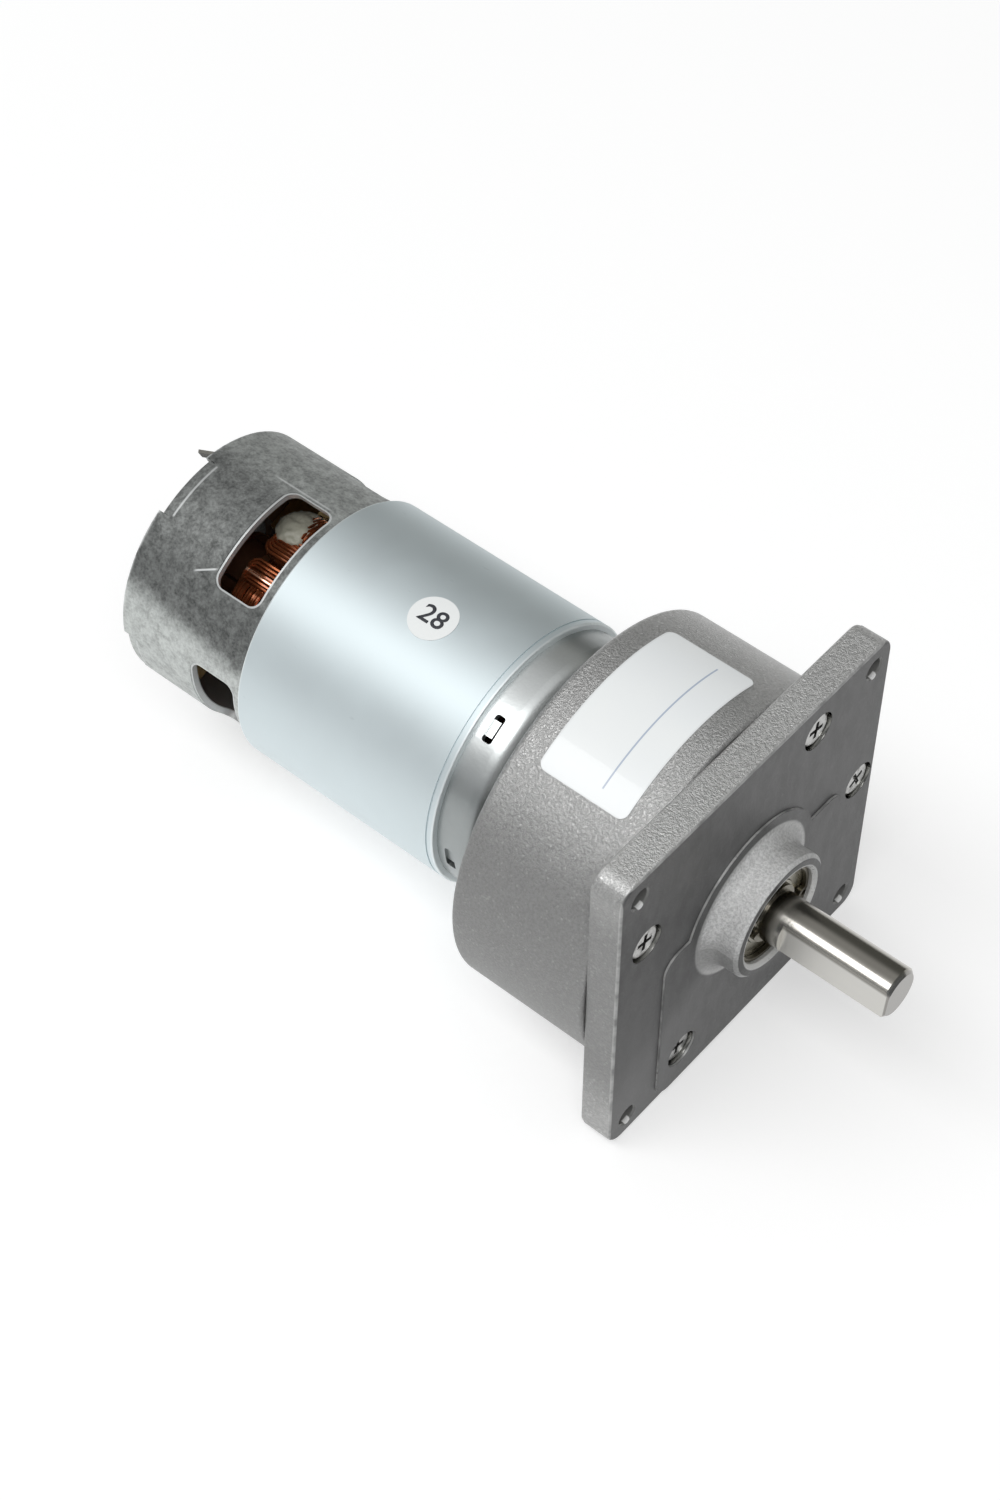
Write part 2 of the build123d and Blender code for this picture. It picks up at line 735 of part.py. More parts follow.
def motor_can():
    shell = disc(can_radius, can_back, can_front)
    shell = fillet(ring_edges(shell, can_front, can_radius), can_edge_round)
    inner = disc(can_inner_radius, can_back, can_front - can_wall)
    inner = fillet(ring_edges(inner, can_front - can_wall, can_inner_radius), can_edge_round - can_wall)
    shell += disc(nose_radius, can_front, can_front + nose_height)
    shell -= inner
    shell = chamfer(ring_edges(shell, can_back, can_radius), can_rim_chamfer)
    shell = chamfer(ring_edges(shell, can_front + nose_height, nose_radius), can_rim_chamfer)
    shell -= disc(nose_radius - nose_wall, can_front - can_wall, can_front + nose_height - nose_wall)
    shell -= disc(armature_shaft_radius + nose_shaft_clearance, can_front, can_front + nose_height)
    for angle in motor_screw_angles:
        point = polar(motor_screw_circle, angle)
        shell -= disc(motor_screw_radius + press_gap, can_front - can_wall, can_front, point)
    # Cooling windows behind the flux ring, and notches in the rear rim for the cover's ears.
    window_back = can_back + window_back_margin
    chord = 2 * can_radius * sin(radians(window_span / 2))
    window_x = window_back + window_length / 2
    window = Pos(window_x, 0) * RectangleRounded(window_length, chord, window_corner)
    # Each window's edge is coined: a shallow step runs round it.
    rim_length = window_length + 2 * window_rim_width
    rim_chord = chord + 2 * window_rim_width
    rim = Pos(window_x, 0) * RectangleRounded(rim_length, rim_chord, window_corner + window_rim_width)
    below_rim = disc(can_radius - window_rim_depth, can_back, can_front)
    notch_chord = 2 * can_radius * sin(radians(notch_span / 2))
    notch = Pos(can_back, 0) * Rectangle(2 * notch_depth, notch_chord)
    for quarter in range(quarter_turns):
        turn = quarter * 360.0 / quarter_turns
        shell -= radial_cutter(window, window_angle + turn)
        shell -= radial_cutter(rim, window_angle + turn) - below_rim
        shell -= radial_cutter(notch, notch_angle + turn)
    # Pierced lances in the neck, each with its tongue pressed inwards.
    lance_x = can_front - lance_setback
    slot = Pos(lance_x, 0) * RectangleRounded(lance_width, lance_length, lance_corner)
    tongue = Pos(can_inner_radius + lance_tongue_depth / 2, 0) * Rectangle(
        lance_tongue_depth + lance_tongue_bite, lance_tongue_length
    )
    tongue_back = lance_x - lance_width / 2 - lance_tongue_lap
    for angle in lance_angles:
        shell -= radial_cutter(slot, angle)
        shell += spun(bar(tongue, tongue_back, tongue_back + lance_tongue_width), angle)
    keep("motor_can", shell)


def flux_ring():
    inner = can_radius + press_gap
    outer = inner + ring_wall
    band = tube(outer, inner, ring_back, ring_front)
    band = fillet(ring_edges(band, ring_back, outer) + ring_edges(band, ring_front, outer), ring_edge_round)
    # A fine groove runs round just behind the front edge.
    groove_front = ring_front - ring_groove_setback
    band -= tube(2 * outer, outer - ring_groove_depth, groove_front - ring_groove_width, groove_front)
    seam = Pos(0, -inner) * Rectangle(ring_seam, 4 * ring_wall)
    keep("flux_ring", band - bar(seam, ring_back, ring_front))


def magnets():
    outer = can_inner_radius - seat_gap
    for letter, angle in zip("ab", magnet_angles):
        block = bar(sector(outer, magnet_inner_radius, angle, magnet_span), magnet_back, magnet_front)
        keep("magnet_" + letter, block)
    # A spring strip bent to a trough spreads the magnets apart on each side.
    gap_span = 180.0 - magnet_span
    clips = []
    clip_back = magnet_back + clip_end_inset
    clip_front = magnet_front - clip_end_inset
    edge_gap = degrees(seat_gap / magnet_inner_radius)
    leg_span = degrees(clip_thickness / (outer - clip_depth))
    for angle in magnet_angles:
        centre = angle + 90.0
        back = sector(outer, outer - clip_thickness, centre, gap_span - 2 * edge_gap)
        half = gap_span / 2 - edge_gap - leg_span / 2
        legs = [sector(outer, outer - clip_depth, centre + side * half, leg_span) for side in (-1, 1)]
        clips.append(bar(back + legs[0] + legs[1], clip_back, clip_front))
    keep("magnet_clips", *clips)


def motor_screws():
    head_back = cavity_floor + seat_gap
    tip = can_front - can_wall - motor_screw_grip
    screws = []
    for angle in motor_screw_angles:
        y, z = polar(motor_screw_circle, angle)
        shank = disc(motor_screw_radius, tip, head_back, (y, z))
        top = head_back + motor_screw_head_height
        head = disc(motor_screw_head_radius, head_back, top, (y, z))
        head = fillet(edges_at_x(head, top), motor_screw_head_round)
        slot = Rectangle(motor_cross_span, cross_width)
        head -= bar(Pos(y, z) * (slot + Rot(0, 0, 90) * slot), top - cross_depth, top)
        screws.append(shank + head)
    keep("motor_screws", *screws)


# ---------------------------------------------------------------- armature
def core_outline(inset=0.0):
    outer = core_radius - inset
    outline = Circle(core_hub_radius - inset)
    shoe_inner = core_radius - pole_shoe_thickness + inset
    mouth = degrees(slot_mouth / core_radius)
    shoe_span = 360.0 / poles - mouth - 2 * degrees(inset / core_radius)
    reach = core_radius - pole_shoe_thickness / 2
    for pole in range(poles):
        angle = pole_angle + pole * 360.0 / poles
        stem = Pos(reach / 2, 0) * Rectangle(reach, stem_width - 2 * inset)
        outline += Rot(0, 0, angle) * stem
        outline += sector(outer, shoe_inner, angle, shoe_span)
    return outline - Circle(armature_bore_radius)


def armature():
    stack = bar(core_outline(), core_back, core_front)
    keep("armature_core", stack)
    plate = core_outline(insulator_inset)
    keep("insulator_front", bar(plate, core_front + press_gap, core_front + insulator_thickness))
    keep("insulator_back", bar(plate, core_back - insulator_thickness, core_back - press_gap))
    # Each coil is a closed loop round its pole's stem, filling half of the slot on either side.
    half_pitch = 180.0 / poles
    end_round = min(coil_edge_round, coil_round_share * (coil_outer_radius - coil_inner_radius))
    coils = []
    for pole in range(poles):
        angle = pole_angle + pole * 360.0 / poles
        loop = bar(coil_outline(half_pitch), coil_back, coil_front)
        stem = Pos(core_radius / 2, 0) * Rectangle(core_radius, stem_width + 2 * coil_stem_gap)
        loop -= bar(stem, coil_back + coil_end_thickness, coil_front - coil_end_thickness)
        ends = edges_at_x(loop, coil_back) + edges_at_x(loop, coil_front)
        loop = fillet(ends, end_round)
        coils.append(spun(loop, angle))
    keep("armature_windings", *coils)
    # Balancing putty dabbed on one coil's end turns.
    low_x = coil_back - putty_overhang
    dab = sector(coil_outer_radius + putty_height, coil_outer_radius + press_gap, putty_angle, putty_span)
    block = bar(dab, low_x, low_x + putty_length)
    keep("balance_putty", fillet(block.edges().filter_by(Axis.X), putty_round))
    shaft = disc(armature_shaft_radius, shaft_tail_end, cavity_floor - end_float)
    shaft += disc(pinion_seat_radius, cavity_floor - end_float, first_front + pinion_overrun)
    tail_edge = ring_edges(shaft, shaft_tail_end, armature_shaft_radius)
    keep("armature_shaft", chamfer(tail_edge, shaft_tail_chamfer))


def coil_outline(half_pitch):
    """Half of the slot on each side of a pole, cut back from the neighbouring coils."""
    ring = sector(coil_outer_radius, coil_inner_radius, 0.0, 2 * half_pitch)
    shift = coil_side_gap / sin(radians(half_pitch))
    reach = 2 * coil_outer_radius
    tip = (shift, 0.0)
    wedge = make_face(Polyline(
        tip,
        (shift + reach * cos(radians(half_pitch)), reach * sin(radians(half_pitch))),
        (shift + reach * cos(radians(half_pitch)), -reach * sin(radians(half_pitch))),
        close=True,
    ))
    return ring & wedge


def commutator():
    hub = tube(commutator_hub_radius, armature_bore_radius, commutator_back, commutator_front)
    keep("commutator_hub", hub)
    bars = []
    inner = commutator_hub_radius + press_gap
    gap_span = degrees(commutator_gap / commutator_radius)
    for bar_number in range(poles):
        angle = pole_angle + (bar_number + 0.5) * 360.0 / poles
        face = sector(commutator_radius, inner, angle, 360.0 / poles - gap_span)
        riser = sector(commutator_radius + riser_height, inner, angle, riser_span)
        strip = bar(face, commutator_back, commutator_front)
        bars.append(strip + bar(riser, commutator_front - riser_thickness, commutator_front))
    keep("commutator_bars", *bars)


# ---------------------------------------------------------------- brush gear and rear cover
brush_middle = (commutator_back + commutator_front - riser_thickness) / 2
brush_tip = commutator_radius + brush_run_gap
brush_back = brush_tip + brush_length


def brush_gear():
    for letter, angle in zip("ab", brush_angles):
        block = Box(brush_depth, brush_length, brush_width)
        block = Pos(brush_middle, (brush_tip + brush_back) / 2, 0) * block
        block -= disc(brush_tip, brush_middle - brush_depth, brush_middle + brush_depth)
        keep("brush_" + letter, spun(block, angle))
        keep("brush_holder_" + letter, spun(brush_holder(), angle))
        keep("brush_spring_" + letter, spun(brush_spring(), angle))


def brush_holder():
    """A folded brass box round the brush, closed behind the spring and footed on the card."""
    start = commutator_radius + holder_lift
    end = holder_end
    inside_x = brush_depth + 2 * brush_slide_gap
    inside_z = brush_width + 2 * brush_slide_gap
    middle_y = (start + end) / 2
    outer = Box(inside_x + 2 * holder_wall, end - start, inside_z + 2 * holder_wall)
    inner = Pos(0, -holder_wall, 0) * Box(inside_x, end - start, inside_z)
    box = Pos(brush_middle, middle_y, 0) * (outer - inner)
    back = brush_middle - inside_x / 2 - holder_wall
    foot_low = card_front + seat_gap
    foot = Box(back - foot_low, holder_foot_length, inside_z)
    return box + Pos((back + foot_low) / 2, end - holder_foot_length / 2, 0) * foot


def brush_spring():
    """A compression spring between the brush's back and the holder's end wall."""
    low = brush_back + spring_wire + seat_gap
    high = holder_end - holder_wall - spring_wire - seat_gap
    pitch = (high - low) / spring_turns
    plane = Plane(origin=(brush_middle, low, 0), x_dir=(1, 0, 0), z_dir=(0, 1, 0))
    path = Helix(pitch, high - low, spring_radius)
    start = Plane(origin=path @ 0, z_dir=path % 0)
    return plane * sweep(start * Circle(spring_wire), path=path)


def brush_card():
    card = tube(can_inner_radius - seat_gap, card_bore_radius, card_back, card_front)
    for terminal in terminal_blades(seat_gap):
        card -= terminal
    keep("brush_card", card)


def rear_cover():
    """A pressed steel disc with a bearing cup, and ears that fill the rim's notches."""
    outline = Circle(can_inner_radius - seat_gap)
    ear_chord = 2 * can_radius * sin(radians(notch_span / 2)) - 4 * seat_gap
    for quarter in range(quarter_turns):
        turn = notch_angle + quarter * 360.0 / quarter_turns
        half = (can_radius - cover_ear_inset) / 2
        ear = Pos(half, 0) * Rectangle(2 * half, ear_chord) & Circle(can_radius - cover_ear_inset)
        outline += Rot(0, 0, turn) * ear
    cover = bar(outline, cover_back, cover_front)
    cup_back = cover_back - cover_cup_depth
    cup = disc(cover_cup_radius, cup_back, cover_back)
    cup = fillet(ring_edges(cup, cup_back, cover_cup_radius), cover_cup_round)
    cover += cup
    cover -= disc(cover_cup_radius - cover_thickness, cup_back + cover_thickness, cover_front)
    cover -= disc(armature_shaft_radius + cover_shaft_clearance, cup_back, cover_back)
    for terminal in terminal_blades(6 * seat_gap):
        cover -= terminal
    keep("rear_cover", cover)


def terminal_blades(grow=0.0):
    """Two blades that stand on the brush card, pass through the cover and bend to one side."""
    root = card_front
    knee = cover_back - terminal_knee
    y, z = polar(terminal_radius, terminal_angle)
    section = Rectangle(terminal_width + 2 * grow, terminal_thickness + 2 * grow)
    section = Rot(0, 0, terminal_tilt) * section
    blade = bar(Pos(y, z) * section, knee, root)
    if not grow:
        tip = Rot(Z=terminal_bend) * extrude(Plane.YZ * section, terminal_knee - terminal_length)
        blade += Pos(knee, y, z) * tip
    return [spun(blade, half_turn) for half_turn in (0.0, 180.0)]


def terminals():
    for letter, blade in zip("ab", terminal_blades()):
        keep("terminal_" + letter, blade)


def motor_bushes():
    front_low = can_front - can_wall
    keep("front_bush", tube(
        nose_radius - nose_wall - seat_gap,
        armature_shaft_radius + run_gap,
        front_low,
        can_front + nose_height - nose_wall - seat_gap,
    ))
    low = cover_back - cover_cup_depth + cover_thickness + seat_gap
    keep("rear_bush", tube(
        cover_cup_radius - cover_thickness - seat_gap,
        armature_shaft_radius + run_gap,
        low,
        cover_front - seat_gap,
    ))
    washer_front = can_front - can_wall - end_float
    washer_back = washer_front - armature_washer_thickness
    tail_washer_back = cover_front + end_float
    tail_washer_front = tail_washer_back + armature_washer_thickness
    keep("thrust_washers", *(
        tube(armature_washer_radius, armature_bore_radius, low, high)
        for low, high in ((washer_back, washer_front), (tail_washer_back, tail_washer_front))
    ))
    keep("shaft_sleeve", tube(
        armature_shaft_radius + sleeve_wall,
        armature_bore_radius,
        core_front + insulator_thickness + seat_gap,
        washer_back - end_float,
    ))


# ---------------------------------------------------------------- stickers
def stickers():
    x_low = housing_back + label_back_margin
    base = housing_radius + press_gap
    outline = sector(base + sticker_thickness, base, label_angle, label_span)
    patch = bar(outline, x_low, x_low + label_length)
    corners = [
        edge for edge in patch.edges().filter_by(GeomType.LINE)
        if abs(edge.vertices()[0].X - edge.vertices()[1].X) < press_gap
    ]
    keep("rating_label", fillet(corners, label_corner))
    x = ring_front - round_sticker_setback
    base = can_radius + press_gap + ring_wall + press_gap
    shell = tube(base + sticker_thickness, base, x - 2 * round_sticker_radius, x + 2 * round_sticker_radius)
    plug = radial_cutter(Pos(x, 0) * Circle(round_sticker_radius), round_sticker_angle)
    keep("round_sticker", shell & plug)


front_flange()
flange_screws()
gear_housing()
output_shaft()
output_gear()
ball_bearing("front_bearing", front_bearing_back)
ball_bearing("rear_bearing", rear_bearing_back)
bearing_hardware()
gear_train()
motor_can()
flux_ring()
magnets()
motor_screws()
armature()
commutator()
brush_gear()
brush_card()
rear_cover()
terminals()
motor_bushes()
stickers()

for name, piece in nodes.items():
    export_step(piece, "parts/" + name + ".step")
    print(name, len(piece.solids()), round(piece.volume, 2))
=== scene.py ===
"""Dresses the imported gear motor: finishes, wound coils, screws, labels and a plain studio."""

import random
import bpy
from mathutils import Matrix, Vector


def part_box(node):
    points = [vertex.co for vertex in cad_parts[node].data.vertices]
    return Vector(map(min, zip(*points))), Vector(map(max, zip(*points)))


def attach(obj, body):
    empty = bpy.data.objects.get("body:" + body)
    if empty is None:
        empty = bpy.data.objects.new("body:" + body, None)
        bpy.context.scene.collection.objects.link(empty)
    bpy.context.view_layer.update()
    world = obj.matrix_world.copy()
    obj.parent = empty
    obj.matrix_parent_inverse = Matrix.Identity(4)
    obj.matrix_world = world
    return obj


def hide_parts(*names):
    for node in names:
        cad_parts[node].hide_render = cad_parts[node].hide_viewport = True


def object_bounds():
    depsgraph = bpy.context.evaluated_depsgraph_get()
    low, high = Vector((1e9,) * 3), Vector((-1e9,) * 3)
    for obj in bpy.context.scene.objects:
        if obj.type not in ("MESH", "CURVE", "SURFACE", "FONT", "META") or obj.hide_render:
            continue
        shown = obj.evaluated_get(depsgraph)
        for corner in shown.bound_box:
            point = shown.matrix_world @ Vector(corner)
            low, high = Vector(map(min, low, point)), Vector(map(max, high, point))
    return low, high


bl_info = {
    "name": "Gear motor",
    "version": (1, 0, 0),
    "blender": (4, 5, 0),
    "location": "View3D > Sidebar > Gear motor",
    "description": "Finishes, wound coils, fasteners and labels for a DC gear motor",
    "category": "Object",
}

from math import cos, degrees, pi, radians, sin, sqrt

import bmesh
import bpy
from mathutils import Matrix, Vector

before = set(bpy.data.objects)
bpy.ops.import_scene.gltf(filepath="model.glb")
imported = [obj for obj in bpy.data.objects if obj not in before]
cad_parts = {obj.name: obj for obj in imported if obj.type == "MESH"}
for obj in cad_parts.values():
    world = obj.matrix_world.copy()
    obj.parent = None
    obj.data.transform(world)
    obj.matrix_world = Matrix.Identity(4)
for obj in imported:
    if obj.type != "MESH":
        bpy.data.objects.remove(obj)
cad_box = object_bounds()

MM = 0.001

# Places on the part, in millimetres. X is 0 on the flange's face and grows towards the shaft's
# end; a TURN is an angle round the shaft in degrees, from +Y towards +Z.
PLATE_HALF = 30.0
CORNER_HOLE = 26.0
BOSS_ROOT = 13.0
BOSS_MOUTH = 8.62
RING_MIDDLE = -59.2
CAN_RADIUS = 21.0
CAN_INSIDE = 19.95
NECK_REAR = -40.0
WINDOW_MIDDLE = -84.6
WINDOW_TURN = 108.2
WINDOW_CORNER = 1.7
NOTCH_TURN = 106.4
FLAT_TURN = 175.0
LABEL_MIDDLE = -17.4
LABEL_TURN = 95.5
STICKER_TURN = 99.0
PUTTY_TURN = 75.0
PUTTY_RADIUS = 13.0

# Flange screws: distance from the shaft's axis, and angle.
SCREWS = ((26.2, 3.0), (27.6, 61.2), (27.6, 149.8), (26.2, 237.5))

# Winding of one coil, in millimetres: layers of turns, and short spans over its two ends.
# A pole's sector starts SECTOR_POINT from the shaft's axis; SECTOR_SLOPE is its half width at 1.
POLES = 5
UPPER_TURNS = 9
UPPER_HALF = 2.75
UPPER_PITCH = 0.545
STACK_DIP = 0.44
LOWER_TURNS = 5
LOWER_RADIUS = 9.85
LOWER_PITCH = 0.52
SECTOR_POINT = 0.766
SECTOR_SLOPE = 0.7265
REAR_SPANS = 15
REAR_SPAN_PITCH = 0.535
FRONT_SPANS = 10
FRONT_SPAN_PITCH = 0.5
SWELL = 1.1
SWELL_START = 8.9
SWELL_END = 6.4


# ---------------------------------------------------------------- shader maths
class Wire:
    """A shader socket that ordinary arithmetic works on; each operation adds one Math node."""

    def __init__(self, finish, socket):
        self.finish = finish
        self.socket = socket

    def maths(self, operation, *values):
        """A Math node with this socket first."""
        inputs = dict(enumerate((self, *values)))
        return self.finish.node("ShaderNodeMath", {"operation": operation}, inputs)

    def turned(self, operation, value):
        """A Math node with this socket second, for the reflected forms."""
        return self.finish.node("ShaderNodeMath", {"operation": operation}, {0: value, 1: self})

    def __add__(self, value):
        return self.maths("ADD", value)

    __radd__ = __add__

    def __mul__(self, value):
        return self.maths("MULTIPLY", value)

    __rmul__ = __mul__

    def __sub__(self, value):
        return self.maths("SUBTRACT", value)

    def __rsub__(self, value):
        return self.turned("SUBTRACT", value)

    def __truediv__(self, value):
        return self.maths("DIVIDE", value)

    def __rtruediv__(self, value):
        return self.turned("DIVIDE", value)

    def __pow__(self, value):
        return self.maths("POWER", value)

    def __neg__(self):
        return self.maths("MULTIPLY", -1.0)

    def __abs__(self):
        return self.maths("ABSOLUTE")

    def step(self, low, high):
        """Rises smoothly from 0 at low to 1 at high; falls where low is above high."""
        settings = {"interpolation_type": "SMOOTHSTEP"}
        if low > high:
            return 1.0 - self.step(high, low)
        inputs = {"Value": self, "From Min": low, "From Max": high}
        return self.finish.node("ShaderNodeMapRange", settings, inputs)

    def band(self, centre, half, soft):
        """1 within half of centre, and 0 from soft further out."""
        return abs(self - centre).step(half + soft, half)

    def most(self, *others):
        """The greatest of several masks."""
        greatest = self
        for other in others:
            greatest = greatest.maths("MAXIMUM", other)
        return greatest


class Finish:
    """One material, or the world. Its nodes are added by node(), with their settings set first,
    except the output node.
    """

    def __init__(self, name, world=None):
        """A new material called name, or the world that is handed in."""
        self.material = world or bpy.data.materials.new(name)
        self.material.use_nodes = True
        self.tree = self.material.node_tree
        self.tree.nodes.clear()
        if world:
            return
        self.place = self.node("ShaderNodeTexCoord", output="Object")
        split = {"Vector": self.place}
        self.x = self.node("ShaderNodeSeparateXYZ", inputs=split, output="X") * 1000.0
        self.y = self.node("ShaderNodeSeparateXYZ", inputs=split, output="Y") * 1000.0
        self.z = self.node("ShaderNodeSeparateXYZ", inputs=split, output="Z") * 1000.0

    def node(self, kind, settings=None, inputs=None, output=0):
        """Adds a node with its settings and then its values and links, and returns one output."""
        made = self.tree.nodes.new(kind)
        for name, setting in (settings or {}).items():
            setattr(made, name, setting)
        for socket, value in (inputs or {}).items():
            if isinstance(value, Wire):
                self.tree.links.new(value.socket, made.inputs[socket])
            elif isinstance(value, (tuple, list)) and len(made.inputs[socket].default_value) == 4:
                made.inputs[socket].default_value = (*value[:3], 1.0)
            else:
                made.inputs[socket].default_value = value
        return Wire(self, made.outputs[output])

    def radius(self):
        """Distance from the shaft's axis, in millimetres."""
        return (self.y * self.y + self.z * self.z) ** 0.5

    def angle(self):
        """Angle round the shaft from +Y towards +Z, from -180 to 180 degrees."""
        return self.z.maths("ARCTAN2", self.y) * degrees(1.0)

    def quarter(self, first):
        """Degrees to the nearest of four places a quarter turn apart, one of them at first."""
        return abs((self.angle() - (first - 45.0)).maths("FLOORED_MODULO", 90.0) - 45.0)

    def stretched(self, along):
        """The place with each axis multiplied, so that a pattern is drawn out along an axis."""
        return self.node("ShaderNodeMapping", inputs={"Vector": self.place, "Scale": along})

    def noise(self, size, detail=2.0, roughness=0.5, along=None):
        """Cloudy noise about 0.5 whose lumps are size millimetres across."""
        place = self.stretched(along) if along else self.place
        inputs = {
            "Vector": place, "Scale": 1.0 / (size * MM), "Detail": detail, "Roughness": roughness,
        }
        return self.node("ShaderNodeTexNoise", inputs=inputs)

    def cells(self, size, output="Distance"):
        """Cells that are size millimetres across."""
        inputs = {"Vector": self.place, "Scale": 1.0 / (size * MM)}
        return self.node("ShaderNodeTexVoronoi", inputs=inputs, output=output)

    def mix(self, below, above, factor):
        """Two colours mixed: sockets 6 and 7 of a Mix node are its colours, output 2 the result."""
        inputs = {0: factor, 6: below, 7: above}
        return self.node("ShaderNodeMix", {"data_type": "RGBA"}, inputs, 2)

    def bump(self, height, depth):
        """A surface raised by height times depth, in millimetres."""
        inputs = {"Height": height, "Distance": depth * MM, "Strength": 1.0}
        return self.node("ShaderNodeBump", inputs=inputs)

    def done(self, colour, roughness, metallic=0.0, normal=None, **more):
        """Ends the material in one Principled shader."""
        inputs = {"Base Color": colour, "Roughness": roughness, "Metallic": metallic}
        if normal is not None:
            inputs["Normal"] = normal
        inputs.update({name.replace("_", " "): value for name, value in more.items()})
        self.end(self.node("ShaderNodeBsdfPrincipled", inputs=inputs), "ShaderNodeOutputMaterial")
        return self.material

    def end(self, shader, kind):
        """Feeds the shader to the output node, which has no output of its own."""
        output = self.tree.nodes.new(kind)
        self.tree.links.new(shader.socket, output.inputs["Surface"])


# ---------------------------------------------------------------- what a user may change
class GearMotorSettings(bpy.types.PropertyGroup):
    """Colours and sizes of the finish."""

    casting_colour: bpy.props.FloatVectorProperty(
        name="Casting", description="Colour of the cast flange and housing",
        subtype="COLOR", size=3, min=0.0, max=1.0, default=(0.42, 0.42, 0.415),
    )
    face_colour: bpy.props.FloatVectorProperty(
        name="Front face", description="Colour of the flange's smoother front face",
        subtype="COLOR", size=3, min=0.0, max=1.0, default=(0.095, 0.095, 0.095),
    )
    ring_colour: bpy.props.FloatVectorProperty(
        name="Flux ring", description="Colour of the plated ring round the can",
        subtype="COLOR", size=3, min=0.0, max=1.0, default=(0.72, 0.79, 0.81),
    )
    can_colour: bpy.props.FloatVectorProperty(
        name="Can", description="Colour of the galvanised motor can",
        subtype="COLOR", size=3, min=0.0, max=1.0, default=(0.36, 0.375, 0.365),
    )
    wire_diameter: bpy.props.FloatProperty(
        name="Wire diameter", description="Enamelled wire of the armature's coils",
        subtype="DISTANCE", unit="LENGTH", default=0.52 * MM, min=0.3 * MM, max=0.9 * MM,
    )
    wire_colour: bpy.props.FloatVectorProperty(
        name="Wire", description="Colour of the enamelled copper wire",
        subtype="COLOR", size=3, min=0.0, max=1.0, default=(0.42, 0.13, 0.05),
    )
    sticker_digits: bpy.props.StringProperty(
        name="Sticker digits", description="Plain number on the round sticker", default="28",
    )
    floor_colour: bpy.props.FloatVectorProperty(
        name="Floor", description="Colour of the studio floor as the camera sees it",
        subtype="COLOR", size=3, min=0.0, max=1.0, default=(1.0, 1.0, 1.0),
    )
    key_strength: bpy.props.FloatProperty(
        name="Key light", description="Power of the large overhead softbox",
        unit="POWER", default=18.5, min=0.0,
    )


def settings():
    """The values of the panel."""
    return bpy.context.scene.gear_motor


# ---------------------------------------------------------------- modelling helpers
def put_down():
    """Leaves edit mode and deselects everything."""
    if bpy.context.object and bpy.context.object.mode != "OBJECT":
        bpy.ops.object.mode_set(mode="OBJECT")
    bpy.ops.object.select_all(action="DESELECT")


def pick(*objects):
    """Selects these objects alone; the first is active."""
    put_down()
    for piece in objects:
        piece.select_set(True)
    bpy.context.view_layer.objects.active = objects[0]


def started(name, primitive, **sizes):
    """A primitive under its own name, with its place in its mesh and its vertices open to edit."""
    put_down()
    primitive(**sizes)
    piece = bpy.context.object
    piece.name = name
    piece.data.name = name
    bpy.ops.object.transform_apply(location=True, rotation=True, scale=True)
    bpy.ops.object.mode_set(mode="EDIT")
    return piece


def choose(piece, kind, test):
    """Selects the faces, edges or verts whose centre passes test, and nothing else."""
    bpy.ops.mesh.select_mode(type={"faces": "FACE", "edges": "EDGE", "verts": "VERT"}[kind])
    bpy.ops.mesh.select_all(action="DESELECT")
    mesh = bmesh.from_edit_mesh(piece.data)
    for element in getattr(mesh, kind):
        if kind == "verts":
            centre = element.co
        elif kind == "edges":
            centre = (element.verts[0].co + element.verts[1].co) / 2
        else:
            centre = element.calc_center_median()
        if test(centre):
            element.select_set(True)
    mesh.select_flush_mode()
    bmesh.update_edit_mesh(piece.data)


def nudge(piece, test, x=0.0, y=0.0, z=0.0):
    """Moves the vertices that pass test, in millimetres."""
    choose(piece, "verts", test)
    bpy.ops.transform.translate(value=(x * MM, y * MM, z * MM))


def joined(name, pieces):
    """One object out of several."""
    pick(*pieces)
    bpy.ops.object.join()
    whole = bpy.context.object
    whole.name = whole.data.name = name
    return whole


def thickened(piece, diameter):
    """Turns a path of edges into round wire."""
    pick(piece)
    bpy.ops.object.convert(target="CURVE")
    path = bpy.context.object
    path.data.bevel_depth = diameter / 2 * MM
    path.data.bevel_resolution = 1
    path.data.use_fill_caps = True
    bpy.ops.object.convert(target="MESH")
    return bpy.context.object


def finished(piece, name, **values):
    """Adds one modifier with its values and applies it."""
    pick(piece)
    modifier = piece.modifiers.new(name.lower(), name)
    for key, value in values.items():
        setattr(modifier, key, value)
    bpy.ops.object.modifier_apply(modifier=modifier.name)


def likeness(node, name):
    """A copy of a CAD node with its own merged mesh."""
    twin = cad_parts[node].copy()
    twin.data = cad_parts[node].data.copy()
    bpy.context.collection.objects.link(twin)
    twin.name = twin.data.name = name
    pick(twin)
    bpy.ops.object.mode_set(mode="EDIT")
    bpy.ops.mesh.select_all(action="SELECT")
    bpy.ops.mesh.remove_doubles(threshold=0.001 * MM)
    bpy.ops.object.mode_set(mode="OBJECT")
    return twin


def settled(piece, smooth_angle=35.0):
    """Puts the piece's place into its mesh and shades it smooth between its edges."""
    pick(piece)
    bpy.ops.object.transform_apply(location=True, rotation=True, scale=True)
    bpy.ops.object.shade_smooth_by_angle(angle=radians(smooth_angle))


def coated(piece, material):
    """Gives a piece one material."""
    piece.data.materials.clear()
    piece.data.materials.append(material)


def dress(names, material):
    """Gives CAD nodes a material."""
    for name in names:
        coated(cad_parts[name], material)


